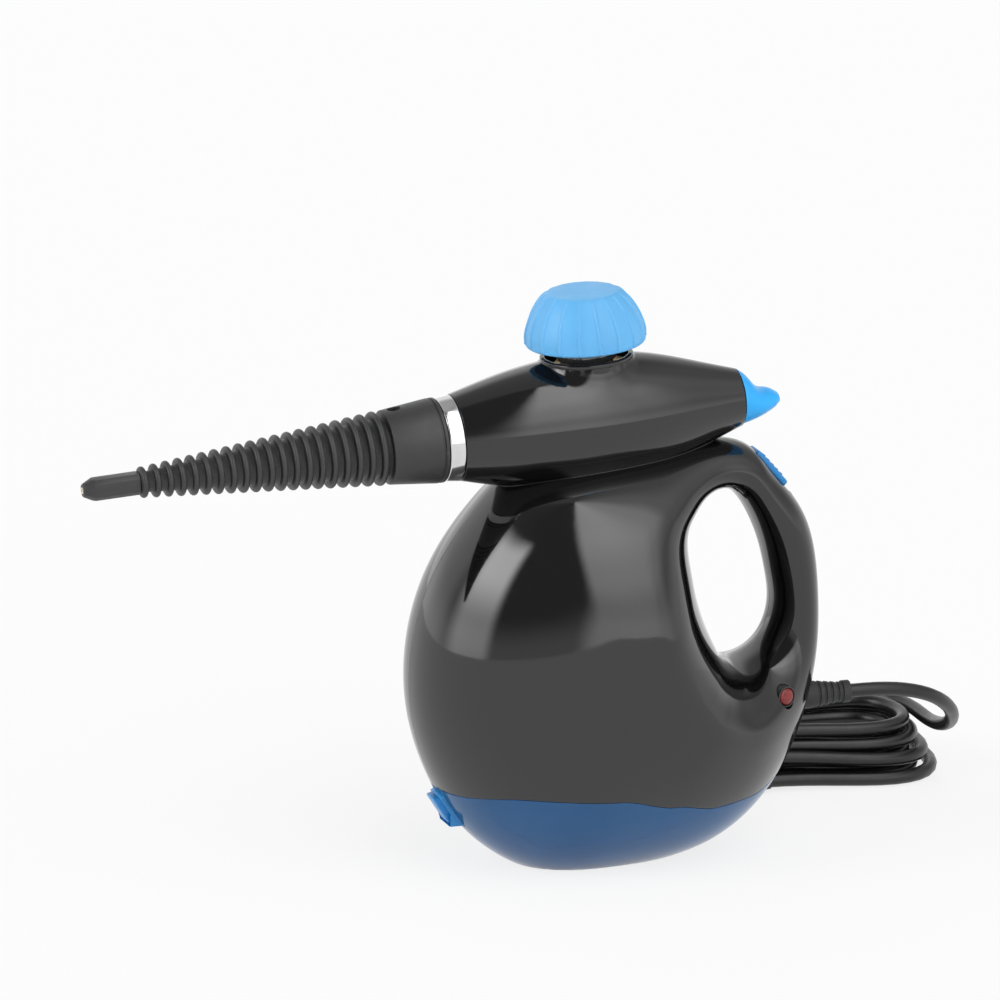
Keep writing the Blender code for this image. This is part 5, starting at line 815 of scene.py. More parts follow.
def ball_half_width(places, outline, widest):
    """Half width of the ball over points of the middle plane: full in the middle, closed at the outline."""
    middle = np.array(body_point(BODY_MIDDLE_SHARES))
    reach = outline - middle
    angles = np.arctan2(reach[:, 1], reach[:, 0])
    order = np.argsort(angles)
    radii = np.linalg.norm(reach, axis=1)
    offset = places - middle
    turns = np.arctan2(offset[..., 1], offset[..., 0])
    limit = np.interp(turns, angles[order], radii[order], period=2 * math.pi)
    ratio = np.minimum(np.linalg.norm(offset, axis=-1) / limit, 1.0)
    front, low = body_point((TAPER_LENGTH_SHARES[0], TAPER_HEIGHT_SHARES[0]))
    back, high = body_point((TAPER_LENGTH_SHARES[1], TAPER_HEIGHT_SHARES[1]))
    taper = TAPER_SHARE * eased(places[..., 0], front, back) * eased(places[..., 1], low, high)
    return widest * (1 - taper) * np.sqrt(np.maximum(1 - ratio ** BALL_FULLNESS, 0))


def ring_body(name, inset, spokes, steps):
    """Ball and handle as one loft round the finger hole: a closed section on every spoke."""
    outline = [body_point(share) for share in BODY_OUTLINE_SHARES]
    hole = body_point(HOLE_MIDDLE_SHARES)
    hole_points = [(hole[0] + x * HOLE_WIDTH, hole[1] + z * HOLE_HEIGHT) for x, z in HOLE_OUTLINE_SHARES]
    outer = moved_inward(closed_spline(outline, spokes), inset)
    inner = moved_inward(closed_spline(hole_points, spokes), -inset)
    dense = moved_inward(closed_spline(outline, 6 * spokes), inset)
    weight = np.clip(closed_spline([(value, 0) for value in HANDLE_SHARES], spokes)[:, 0], 0, 1)[:, None]
    share = 0.5 * (1 - np.cos(math.pi * np.arange(steps + 1) / steps))
    span = outer - inner
    reach = np.linalg.norm(span, axis=1)[:, None]
    places = inner[:, None, :] + share[None, :, None] * span[:, None, :]
    roll = np.sqrt(np.maximum(1 - (1 - np.minimum(share[None, :] * reach / HOLE_ROLL, 1)) ** 2, 0))
    ball = roll * ball_half_width(places, dense, BODY_HALF_WIDTH - inset)
    grip = 2 * (HANDLE_HALF_WIDTH - inset) * np.sqrt(share * (1 - share))[None, :]
    width = (1 - weight) * ball + weight * grip
    width[:, 0] = 0
    width[:, -1] = 0
    rows = []
    for middle, half in zip(places, width):
        near = [(x, -y, z) for (x, z), y in zip(middle, half)]
        far = [(x, y, z) for (x, z), y in zip(middle[-2:0:-1], half[-2:0:-1])]
        rows.append(near + far)
    return grid_mesh(name, rows, True)


def fuselage_radius(along):
    stations = np.linspace(-FUSELAGE_FRONT, FUSELAGE_BACK, len(FUSELAGE_RADIUS_SHARES))
    return FUSELAGE_RADIUS * open_spline(stations, FUSELAGE_RADIUS_SHARES, np.atleast_1d(along))


def neck_reach(offset, turn):
    """How far the filler neck reaches from the fuselage axis, at an offset along it and a turn from its top.

    The neck flares out widely along the fuselage and only a little to its sides.
    """
    low = np.zeros(np.broadcast(offset, turn).shape)
    high = np.full(low.shape, 2 * NECK_TOP)
    for _ in range(30):
        middle = (low + high) / 2
        height = middle * np.cos(turn)
        across = np.hypot(offset, middle * np.sin(turn))
        share = np.clip((NECK_TOP - height) / NECK_FLARE_DEPTH, 0, 1)
        lengthwise = (offset / np.maximum(across, MERGE)) ** 2
        spread = NECK_SIDE_SHARE + (1 - NECK_SIDE_SHARE) * lengthwise
        narrow = NECK_RIM_RADIUS - NECK_LIP_STEP
        flare = narrow + (NECK_FLARE_RADIUS - narrow) * spread * share ** 2
        inside = (across < flare) & (height > 0)
        low = np.where(inside, middle, low)
        high = np.where(inside, high, middle)
    return low


def fuselage_body(name, stations=90, sides=120):
    """Turned body along its own axis whose top swells smoothly up to the filler neck's lip."""
    along = np.linspace(-FUSELAGE_FRONT, FUSELAGE_BACK, stations)
    near_neck = np.linspace(CAP_ALONG - NECK_FLARE_RADIUS, CAP_ALONG + NECK_FLARE_RADIUS, stations // 2)
    along = np.unique(np.concatenate((along, near_neck)))
    turn = 2 * math.pi * np.arange(sides) / sides
    plain = fuselage_radius(along)[:, None] * np.ones(sides)[None, :]
    neck = neck_reach((along - CAP_ALONG)[:, None], turn[None, :])
    apart = np.clip(0.5 + (neck - plain) / (2 * NECK_BLEND), 0, 1)
    reach = plain + (neck - plain) * apart + NECK_BLEND * apart * (1 - apart)
    reach = np.where(neck < plain - NECK_BLEND, plain, reach)
    crown = np.maximum(np.cos(turn), 0.1)[None, :]
    reach = np.minimum(reach, (NECK_TOP - NECK_LIP_HEIGHT * NECK_LIP_LAP_SHARE) / crown)
    rows = [[(along[0], 0, 0)]]
    for station, distances in zip(along, reach):
        pairs = zip(distances, turn)
        rows.append([(station, -far * math.sin(angle), far * math.cos(angle)) for far, angle in pairs])
    rows.append([(along[-1], 0, 0)])
    return placed(grid_mesh(name, rows), FUSELAGE)


def seam_curve():
    places = [body_point(share) for share in SEAM_SHARES]
    stations = [place[0] for place in places]
    xs = np.linspace(stations[0], stations[-1], SEAM_STEPS)
    heights = []
    for x in xs:
        index = min(max(int(np.searchsorted(stations, x)) - 1, 0), len(places) - 2)
        first, second = places[index], places[index + 1]
        part = (x - first[0]) / (second[0] - first[0])
        heights.append(first[1] + (second[1] - first[1]) * part * part * (3 - 2 * part))
    return list(zip(xs.tolist(), heights))


def seam_height(x):
    curve = seam_curve()
    return float(np.interp(x, [p[0] for p in curve], [p[1] for p in curve]))


def region(name, lower, upper, y_low, y_high):
    """Solid between two height curves over the same X stations and between two Y planes."""
    rows = []
    for (x, low), (_, high) in zip(lower, upper):
        rows.append([(x, y_low, low), (x, y_high, low), (x, y_high, high), (x, y_low, high)])
    return grid_mesh(name, rows)


def along_y(place):
    return Matrix.Translation((place[0], 0, place[1])) @ quarter_turn("X", -1)


def surface_frame(tree, start, direction):
    """Frame on the outer surface where a ray from inside leaves it: Z points along the ray."""
    ray = Vector(direction).normalized()
    hit = tree.ray_cast(Vector(start), ray)[0]
    side = Vector((0, 0, 1)).cross(ray).normalized()
    up = ray.cross(side)
    turn = Matrix((side, up, ray)).transposed().to_4x4()
    return Matrix.Translation(hit) @ turn


def surface_places(form):
    carrier = holder(form)
    bpy.context.view_layer.update()
    tree = BVHTree.FromObject(carrier, bpy.context.evaluated_depsgraph_get())
    x, z = body_point(LAMP_PLACE_SHARES)
    places = {"lamp": surface_frame(tree, (x, 0, z), (math.sin(LAMP_YAW), -math.cos(LAMP_YAW), 0))}
    x = body_point(HOLE_MIDDLE_SHARES)[0] + HOLE_WIDTH / 4
    places["entry"] = surface_frame(tree, (x, 0, CORD_ENTRY_Z), (1, 0, 0))
    out = Vector((math.sin(SLIDER_SLOPE), 0, math.cos(SLIDER_SLOPE)))
    x, z = body_point(SLIDER_PLACE_SHARES)
    start = Vector((x, 0, z)) - 2 * SLIDER_BED * out
    places["slider"] = surface_frame(tree, start, out) @ quarter_turn("Z", -1)
    bpy.data.objects.remove(carrier)
    return places


# Housing and bowl

def outer_form():
    """Ball, handle and fuselage as one solid, with the lip of the filler neck."""
    body = united(ring_body("outer_form", 0.0, FINE_SPOKES, FINE_STEPS), fuselage_body("fuselage_form"))
    low, top = NECK_TOP - NECK_LIP_HEIGHT, NECK_TOP
    rim = NECK_RIM_RADIUS
    outline = [(0, top), (rim, top), (rim, low), (rim - 2 * NECK_LIP_STEP, low), (0, low - OVERRUN)]
    lip = turned("neck_lip", rounded(outline, NECK_LIP_ROUNDING), 128)
    return united(body, placed(lip, FILLER))


def inner_form(places):
    """Hollow of the housing less its walls, bosses, beds and the neck's floor."""
    body = ring_body("inner_form", WALL, COARSE_SPOKES, COARSE_STEPS)
    stations = np.linspace(FRONT_WALL - FUSELAGE_FRONT, FUSELAGE_BACK - WALL, 24)
    radii = fuselage_radius(stations) - WALL
    rim = [(radius, -station) for radius, station in zip(radii.tolist(), stations.tolist())]
    profile = [(0, -stations[0])] + rim + [(0, -stations[-1])]
    body = united(body, placed(turned("fuselage_hollow", profile, 40), NOSE))
    reach = BODY_HALF_WIDTH + OVERRUN
    low = WELL_FLOOR - WELL_FLOOR_THICKNESS
    solid = [(rod("neck_block", NECK_RIM_RADIUS, low, NECK_TOP + OVERRUN), FILLER)]
    for share in SCREW_PLACE_SHARES:
        solid.append((rod("screw_boss", BOSS_RADIUS, -reach, reach, 24), along_y(body_point(share))))
    size = (SLIDER_LENGTH + 2 * SLIDER_TRAVEL + OVERRUN, SLIDER_WIDTH + OVERRUN, SLIDER_BED * 2)
    boss = LAMP_RADIUS + LAMP_BEZEL + LAMP_BOSS_WALL
    solid += [
        (block("slider_bed", size), places["slider"]),
        (rod("lamp_boss", boss, -LAMP_DEPTH, OVERRUN, 24), places["lamp"]),
        (rod("gland_boss", RELIEF_FLANGE_RADIUS + WALL, -WALL, OVERRUN, 24), places["entry"]),
    ]
    for mesh, turn in solid:
        body = cut(body, placed(mesh, turn))
    return body


def housing_cutters(places):
    """Openings in the housing's wall: neck well, spout, tail, slider track, lamp, cord entry and screws."""
    low = WELL_FLOOR - WELL_FLOOR_THICKNESS - OVERRUN
    front = FUSELAGE_FRONT - FRONT_WALL - OVERRUN
    tail = float(fuselage_radius(FUSELAGE_BACK)[0]) - TAIL_WALL
    size = (SLIDER_LENGTH + SLIDER_TRAVEL + 2 * GAP, SLIDER_WIDTH + 2 * GAP, SLIDER_BED)
    centre = (SLIDER_TRAVEL / 2, 0, SLIDER_BED / 2 - SLIDER_SUNK - GAP)
    lamp = LAMP_RADIUS + LAMP_BEZEL + GAP
    far = BODY_HALF_WIDTH + OVERRUN
    tools = [
        (rod("neck_well", WELL_RADIUS, WELL_FLOOR, NECK_TOP + OVERRUN, 96), FILLER),
        (rod("neck_hole", BOILER_NECK_RADIUS + GAP, low, WELL_FLOOR + OVERRUN), FILLER),
        (rod("spout_hole", SPOUT_RADIUS + GAP, front, FUSELAGE_FRONT + OVERRUN, 64), NOSE),
        (rod("tail_hole", tail, -FUSELAGE_BACK - OVERRUN, 2 * WALL - FUSELAGE_BACK, 64), NOSE),
        (block("slider_track", size, centre), places["slider"]),
        (rod("lamp_hole", lamp, -LAMP_DEPTH - OVERRUN, OVERRUN), places["lamp"]),
        (rod("gland_hole", RELIEF_SLEEVE_RADIUS + GAP, -2 * WALL - OVERRUN, OVERRUN), places["entry"]),
        (rod("gland_seat", RELIEF_FLANGE_RADIUS + GAP, -4 * WALL - OVERRUN, -2 * WALL), places["entry"]),
    ]
    profile = (
        (0, far), (SCREW_WELL_RADIUS, far), (SCREW_WELL_RADIUS, SCREW_SEAT_Y),
        (SCREW_PILOT_RADIUS, SCREW_SEAT_Y), (SCREW_PILOT_RADIUS, -SCREW_DEPTH - GAP),
        (0, -SCREW_DEPTH - GAP),
    )
    for share in SCREW_PLACE_SHARES:
        tools.append((turned("screw_hole", profile, 40), along_y(body_point(share))))
    return [placed(mesh, turn) for mesh, turn in tools]


def half_beyond(mesh, side):
    """The part of a closed mesh on one side of the middle plane, less half the gap, with a flat new face."""
    bm = bmesh.new()
    bm.from_mesh(mesh)
    everything = list(bm.verts) + list(bm.edges) + list(bm.faces)
    cut = bmesh.ops.bisect_plane(bm, geom=everything, dist=MERGE / 8, plane_co=(0, side * GAP / 2, 0),
                                 plane_no=(0, side, 0), clear_inner=True)
    edges = [part for part in cut["geom_cut"] if isinstance(part, bmesh.types.BMEdge)]
    bmesh.ops.triangle_fill(bm, use_beauty=True, use_dissolve=False, edges=edges)
    return mesh_from(bm, mesh.name)


def make_housing(outer, hollow, places):
    """Both shells from one wall, parted on the middle plane and cut along the seam of the base."""
    shell = cut(outer.copy(), hollow)
    for tool in housing_cutters(places):
        shell = cut(shell, tool)
    seam = [(x, z + GAP / 2) for x, z in seam_curve()]
    deep = [(x, -BODY_HEIGHT) for x, _ in seam]
    far = BODY_HALF_WIDTH + OVERRUN
    shell = cut(shell, region("below_seam", deep, seam, -far, far))
    for name, node, side in (("housing_left", "left_shell", -1), ("housing_right", "right_shell", 1)):
        piece(name, keep_largest(half_beyond(shell, side)), "gloss_black", "housing", node)


def latch_place(shift=0.0):
    outline = closed_spline([body_point(share) for share in BODY_OUTLINE_SHARES], 400)
    front = outline[outline[:, 0] < 0]
    front = front[front[:, 1] < BODY_HEIGHT / 2]
    order = np.argsort(front[:, 1])
    middle = seam_height(-BODY_FRONT) - LATCH_BELOW_SEAM - LATCH_HEIGHT / 2 + shift
    return float(np.interp(middle, front[order, 1], front[order, 0])), middle


def latch_pocket(extra):
    x, z = latch_place()
    depth = LATCH_SUNK + LATCH_TRAVEL + LATCH_SPRING_ROOM + extra
    length = depth + LATCH_PROUD + LATCH_STEP + LATCH_HEIGHT / 2
    size = (length, LATCH_WIDTH + 2 * (GAP + extra), LATCH_HEIGHT + 2 * (GAP + extra))
    return block("latch_pocket", size, (x + depth - size[0] / 2, 0, z))


def make_bowl(outer):
    """Bowl below the seam with a flat foot, open at the top, and the pocket of its latch."""
    hollow = ring_body("bowl_hollow", WALL, COARSE_SPOKES * 2, COARSE_STEPS * 2)
    size = (2 * BODY_LENGTH, 2 * BODY_LENGTH, 2 * FLOOR_WALL)
    hollow = cut(hollow, block("floor_slab", size))
    hollow = cut(hollow, latch_pocket(LATCH_BACK_WALL))
    bowl = cut(outer.copy(), hollow)
    seam = [(x, z - GAP / 2) for x, z in seam_curve()]
    floor = [(x, 0) for x, _ in seam]
    far = BODY_HALF_WIDTH + OVERRUN
    bowl = combined(bowl, "INTERSECT", [region("bowl_region", floor, seam, -far, far)])
    bowl = keep_largest(cut(bowl, latch_pocket(0.0)))
    piece("bowl", bowl, "bowl_blue", "base", "base_bowl")


def leaning(mesh, slope, drop):
    for vertex in mesh.vertices:
        if vertex.co.x < 0:
            vertex.co.x -= slope * vertex.co.z
            vertex.co.z -= drop if vertex.co.z > 0 else 0
    return mesh


def make_latch():
    """Stepped block that is pressed in to free the bowl."""
    x, z = latch_place()
    rise = LATCH_HEIGHT / 4
    higher, lower = (latch_place(shift)[0] for shift in (rise, -rise))
    slope = LATCH_LEAN_SHARE * (lower - higher) / (2 * rise)
    size = (LATCH_PROUD + LATCH_SUNK, LATCH_WIDTH, LATCH_HEIGHT)
    base = block("latch", size, ((LATCH_SUNK - LATCH_PROUD) / 2, 0, 0), LATCH_ROUNDING)
    deep = LATCH_PROUD + LATCH_STEP + LATCH_SUNK / 2
    size = (deep, LATCH_WIDTH - 2 * LATCH_LEDGE, LATCH_HEIGHT - 2 * LATCH_ROUNDING)
    pad = block("latch_pad", size, (deep / 2 - LATCH_PROUD - LATCH_STEP, 0, 0), LATCH_ROUNDING)
    whole = united(leaning(base, slope, LATCH_TOP_DROP), leaning(pad, slope, LATCH_TOP_DROP))
    # The latch is finished in the blue darkened as painted shade
    piece("latch", placed(whole, Matrix.Translation((x, 0, z))), "blue_in_painted_shade", "latch", "base_latch")


# Cap

def cap_profile(inset, steps):
    """Points of the dome from the flat top to the skirt, moved in by the wall."""
    points = []
    low = CAP_BOTTOM + CAP_LIP + CAP_SKIRT
    height = CAP_HEIGHT - CAP_LIP - CAP_SKIRT
    for step in range(steps + 1):
        turn = math.pi / 2 * step / steps
        out = math.sin(turn) ** (2 / CAP_DOME_FULLNESS)
        up = math.cos(turn) ** (2 / CAP_DOME_FULLNESS)
        reach = CAP_TOP_RADIUS + (CAP_RADIUS - CAP_TOP_RADIUS) * out
        points.append((reach - inset, low + height * up - inset))
    return points + [(CAP_RADIUS - inset, CAP_BOTTOM + CAP_LIP - inset)]


def make_cap():
    """Domed cap with thin raised ridges down its side, a flat disc on top and a lip at the bottom."""
    sides = CAP_RIDGES * 24
    top = CAP_BOTTOM + CAP_HEIGHT
    rows = [[(0, 0, top)]] + [circle(share * CAP_TOP_RADIUS, top, sides) for share in CAP_DISC_SHARES]
    for index, (radius, height) in enumerate(cap_profile(0.0, 30)):
        fade = CAP_RIDGE_FADE_SHARE + (1 - CAP_RIDGE_FADE_SHARE) * radius / CAP_RADIUS
        fade *= min(index / 6, 1.0)
        row = []
        for step in range(sides):
            turn = 2 * math.pi * step / sides
            across = CAP_RIDGES * (turn - CAP_TURN) / (2 * math.pi)
            across = abs(across - round(across)) * 2 * math.pi * radius / CAP_RIDGES
            ridge = CAP_RIDGE_RISE * math.exp(-(across / (CAP_RIDGE_WIDTH / 2)) ** 2)
            reach = radius + fade * (ridge - CAP_PANEL_DROP)
            row.append((reach * math.cos(turn), reach * math.sin(turn), height))
        rows.append(row)
    for step in range(1, 7):
        angle = math.pi / 2 * step / 6
        reach = CAP_RADIUS - CAP_LIP * (1 - math.cos(angle))
        rows.append(circle(reach, CAP_BOTTOM + CAP_LIP * (1 - math.sin(angle)), sides))
    ceiling = top - CAP_WALL
    inner = [(radius, min(height, ceiling)) for radius, height in cap_profile(CAP_WALL, 24)]
    inner[-1] = (inner[-1][0], CAP_BOTTOM)
    rows += [circle(radius, height, sides) for radius, height in reversed(inner)]
    dome = grid_mesh("cap", rows + [[(0, 0, ceiling)]])
    bore = PLUG_HUB_RADIUS + GAP
    low, high = ceiling - CAP_HEIGHT / 2, ceiling + CAP_WALL / 2
    sleeve = tube("cap_sleeve", bore + CAP_SLEEVE_WALL, bore, low, high)
    cap = placed(joined("filler_cap", [dome, sleeve]), FILLER)
    piece("filler_cap", cap, "cap_blue", "cap_shell", "cap_shell")


# Nozzle

def rounded(profile, corner_radius, segments=4):
    """Rounds every corner of an open profile of (radius, height) points."""
    points = [Vector(point) for point in profile]
    result = [tuple(points[0])]
    for before, here, after in zip(points, points[1:], points[2:]):
        back, ahead = before - here, after - here
        trim = min(corner_radius, back.length * 0.45, ahead.length * 0.45)
        start, end = here + back.normalized() * trim, here + ahead.normalized() * trim
        for step in range(segments + 1):
            share = step / segments
            point = start * (1 - share) ** 2 + here * (2 * share * (1 - share)) + end * share ** 2
            result.append(tuple(point))
    return result + [tuple(points[-1])]


def make_ring():
    """Chrome ring between the fuselage and the nozzle."""
    front = RING_BACK + RING_WIDTH
    bore = SPOUT_RADIUS + GAP
    face = [(RING_RADIUS - RING_ROUNDING, front), (RING_RADIUS, RING_BACK)]
    outline = [(bore, front), *face, (bore, RING_BACK)]
    ring = turned("nose_ring", rounded(outline, RING_ROUNDING, 6), 128, True)
    piece("nose_ring", placed(ring, NOSE), "chrome", "housing", "chrome_ring")


def barrel_profile():
    """Profile of the ribbed nozzle from its front end over the ribs to the collar's back."""
    pitch = RIBBED_LENGTH / RIB_COUNT
    profile = []
    for index in range(RIB_COUNT):
        share = index / (RIB_COUNT - 1)
        crest = RIB_FRONT_RADIUS + (RIB_BACK_RADIUS - RIB_FRONT_RADIUS) * share
        root = crest - (RIB_FRONT_DEPTH + (RIB_BACK_DEPTH - RIB_FRONT_DEPTH) * share)
        half = pitch * RIB_WIDTH_SHARE / 2
        middle = BARREL_FRONT - pitch * index - RIB_SET_BACK_SHARE * half
        foot = [(root + half * up, half * out) for out, up in RIB_FOOT_SHARES]
        if index:
            profile += [(radius, middle + away) for radius, away in foot]
        else:
            profile += [(crest - RIB_SET_BACK_SHARE * half, BARREL_FRONT)]
        for step in range(9):
            angle = math.pi * step / 8
            profile.append((crest - half + half * math.sin(angle), middle + half * math.cos(angle)))
        profile += [(radius, middle - away) for radius, away in reversed(foot)]
    root = RIB_BACK_RADIUS - RIB_BACK_DEPTH
    lip = COLLAR_BACK + COLLAR_LIP
    groove = COLLAR_RADIUS - COLLAR_GROOVE_DEPTH
    collar = [
        (root, COLLAR_FRONT + pitch * 0.12), (root, COLLAR_FRONT), (RIB_BACK_RADIUS, COLLAR_FRONT),
        (COLLAR_RADIUS, lip + COLLAR_GROOVE_WIDTH), (groove, lip + COLLAR_GROOVE_WIDTH), (groove, lip),
        (COLLAR_RADIUS, lip), (COLLAR_RADIUS, COLLAR_BACK), (SPOUT_RADIUS + GAP, COLLAR_BACK),
    ]
    return profile + rounded(collar, COLLAR_ROUNDING / 2, 3)[1:]


def make_barrel():
    """Ribbed nozzle: plain tapering collar, then rounded ribs that shrink towards the tip."""
    socket = SPOUT_RADIUS + GAP
    floor = COLLAR_BACK + SOCKET_DEPTH
    spigot = BARREL_FRONT - TIP_SPIGOT_LENGTH - GAP
    profile = barrel_profile()
    profile += [(socket, floor), (NOZZLE_BORE, floor), (NOZZLE_BORE, spigot)]
    profile += [(TIP_SPIGOT_RADIUS + GAP, spigot), (TIP_SPIGOT_RADIUS + GAP, BARREL_FRONT)]
    mesh = turned("nozzle_tube", profile, 96, True)
    up = Matrix.Translation((0, 0, COLLAR_FRONT - SNAP_FROM_COLLAR_FRONT)) @ quarter_turn("Y")
    hole = placed(rod("collar_hole", SNAP_RADIUS + GAP, 0, COLLAR_RADIUS + OVERRUN), up)
    piece("nozzle_tube", placed(cut(mesh, hole), NOSE), "matte_black", "nozzle", "nozzle_barrel")


def make_tip():
    """Tip: a chamfered square shank with a turned end, its spigot and the jet in its face."""
    front = TIP_BACK + TIP_LENGTH
    bm = bmesh.new()
    bmesh.ops.create_cube(bm, size=1.0)
    bmesh.ops.scale(bm, vec=(TIP_WIDTH, TIP_WIDTH, TIP_LENGTH), verts=bm.verts)
    long_edges = [edge for edge in bm.edges if abs(edge.verts[0].co.z - edge.verts[1].co.z) > TIP_WIDTH]
    bmesh.ops.bevel(bm, geom=long_edges, offset=TIP_CHAMFER, segments=1, profile=0.5, affect="EDGES")
    bmesh.ops.bevel(bm, geom=bm.edges, offset=TIP_EDGE, segments=3, profile=0.5, affect="EDGES")
    bmesh.ops.translate(bm, vec=(0, 0, TIP_BACK + TIP_LENGTH / 2), verts=bm.verts)
    shank = mesh_from(bm, "tip")
    outline = [
        (0, front), (TIP_END_RADIUS, front), (TIP_CONE_RADIUS, front - TIP_CONE_LENGTH),
        (TIP_CONE_RADIUS, TIP_BACK - OVERRUN), (0, TIP_BACK - OVERRUN),
    ]
    mesh = combined(shank, "INTERSECT", [turned("tip_cone", rounded(outline, TIP_EDGE * 2), 96)])
    low = TIP_BACK - TIP_SPIGOT_LENGTH
    mesh = united(mesh, rod("tip_spigot", TIP_SPIGOT_RADIUS, low, TIP_BACK + OVERRUN))
    bore = rod("tip_bore", TIP_BORE, low - OVERRUN, front + OVERRUN)
    pocket = rod("jet_pocket", JET_RADIUS + GAP / 2, front - JET_LENGTH, front + OVERRUN)
    mesh = cut(mesh, bore, pocket)
    piece("nozzle_end", placed(mesh, NOSE), "matte_black", "nozzle", "nozzle_tip")
    low = front - JET_LENGTH + GAP
    high = front + JET_PROUD
    radius = JET_RADIUS - GAP / 2
    outline = [(JET_BORE, high), (radius, high), (radius, low), (JET_BORE, low)]
    jet = turned("jet", rounded(outline, TIP_EDGE), 48, True)
    piece("steam_jet", placed(jet, NOSE), "cream", "nozzle", "jet_insert")


# Trigger, slider, lamp

def make_trigger():
    """Thumb trigger: scooped tail piece, tongue to its pivot and a forked arm under the stem's head."""
    split = FUSELAGE_BACK + TRIGGER_SPLIT
    stations = [section[0] for section in TRIGGER_SECTION_SHARES]
    values = [section[1:] for section in TRIGGER_SECTION_SHARES]
    fine = np.linspace(0, stations[-1], 34)
    turns = [2 * math.pi * step / 72 for step in range(72)]
    rows = []
    for along, (top, bottom, wide) in zip(fine, open_spline(stations, values, fine)):
        x = split + along * TRIGGER_LENGTH
        half = wide * TRIGGER_HALF_WIDTH
        middle = (top + bottom) / 2 * TRIGGER_HALF_HEIGHT
        tall = (top - bottom) / 2 * TRIGGER_HALF_HEIGHT
        rows.append([(x, half * math.cos(turn), middle + tall * math.sin(turn)) for turn in turns])
    last = np.array(rows[-1])
    core = last.mean(axis=0)
    for step in range(1, 9):
        turn = math.pi / 2 * step / 9
        ahead = np.array((TRIGGER_TIP_LENGTH * math.sin(turn), 0, 0))
        rows.append([tuple(core + (point - core) * math.cos(turn) + ahead) for point in last])
    rows.append([tuple(core + np.array((TRIGGER_TIP_LENGTH, 0, 0)))])
    mesh = grid_mesh("trigger", rows)
    pivot = Matrix.Translation((TRIGGER_PIVOT_ALONG, 0, -TRIGGER_PIVOT_DROP))
    length = split + OVERRUN - TRIGGER_PIVOT_ALONG
    wide = TRIGGER_TONGUE_WIDTH
    tongue = block("tongue", (length, wide, TRIGGER_TONGUE_HEIGHT), (length / 2, 0, 0))
    cross = pivot @ quarter_turn("X")
    eye = rod("eye", TRIGGER_EYE_RADIUS, -wide / 2, wide / 2)
    low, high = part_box("valve_stem")
    head = Vector(((low[0] + high[0]) / 2, 0, high[2]))
    lift = (FUSELAGE.inverted() @ head).z - TRIGGER_HEAD_DROP
    reach = TRIGGER_PIVOT_ALONG - VALVE_ALONG + VALVE_HEAD_RADIUS
    arm_middle = lift - GAP + TRIGGER_PIVOT_DROP - TRIGGER_ARM_THICKNESS / 2
    size = (reach, wide, TRIGGER_ARM_THICKNESS)
    arm = block("arm", size, (-reach / 2, 0, arm_middle), TRIGGER_ARM_ROUNDING)
    for part, turn in ((tongue, pivot), (eye, cross), (arm, pivot)):
        mesh = united(mesh, placed(part, turn))
    slot_half = VALVE_STEM_RADIUS + TRIGGER_FORK_SLOT / 2
    size = (2 * slot_half + 2 * VALVE_HEAD_RADIUS, 2 * slot_half, 2 * TRIGGER_ARM_THICKNESS)
    middle = (VALVE_ALONG - TRIGGER_PIVOT_ALONG + slot_half - size[0] / 2, 0, arm_middle)
    fork = placed(block("fork", size, middle), pivot)
    bore = placed(rod("pin_bore", TRIGGER_PIN_RADIUS + GAP, -wide, wide), cross)
    mesh = keep_largest(cut(mesh, fork, bore))
    piece("thumb_trigger", placed(mesh, FUSELAGE), "blue", "trigger", "steam_trigger")


def make_slider(place):
    """Lock slider with ridges across its top."""
    size = (SLIDER_LENGTH, SLIDER_WIDTH, SLIDER_PROUD + SLIDER_SUNK)
    mesh = block("slider", size, (0, 0, (SLIDER_PROUD - SLIDER_SUNK) / 2), SLIDER_ROUNDING, 5)
    pitch = SLIDER_LENGTH / (SLIDER_RIDGES + 2)
    ridges = []
    for index in range(SLIDER_RIDGES):
        along = pitch * (index - (SLIDER_RIDGES - 1) / 2)
        size = (SLIDER_RIDGE_WIDTH, SLIDER_WIDTH - 3 * SLIDER_ROUNDING, 2 * SLIDER_RIDGE_HEIGHT)
        ridges.append(block("ridge", size, (along, 0, SLIDER_PROUD), SLIDER_RIDGE_ROUNDING, 3))
    mesh = united(mesh, *ridges)
    # The slider is finished in the blue darkened as painted shade
    piece("safety_slider", placed(mesh, place), "blue_in_painted_shade", "lock_slider", "lock_slider")


def make_lamp(place):
    """Pilot lamp: a thin bezel round a domed lens."""
    outer = LAMP_RADIUS + LAMP_BEZEL
    low = -LAMP_DEPTH + WALL
    inner = LAMP_RADIUS + GAP
    outline = [(inner, low), (inner, LAMP_BEZEL_PROUD), (outer, LAMP_BEZEL_PROUD), (outer, low)]
    ring = turned("bezel", rounded(outline, LAMP_BEZEL_ROUNDING), 64, True)
    piece("lamp_ring", placed(ring, place), "matte_black", "housing", "lamp_bezel")
    dome = []
    for step in range(13):
        angle = math.pi / 2 * step / 12
        dome.append((LAMP_RADIUS * math.sin(angle) if step else 0, LAMP_PROUD * math.cos(angle)))
    lens = turned("lens", dome + [(LAMP_RADIUS, low), (0, low)], 64)
    piece("lamp_lens", placed(lens, place), "red", "housing", "pilot_lens")


# Cord

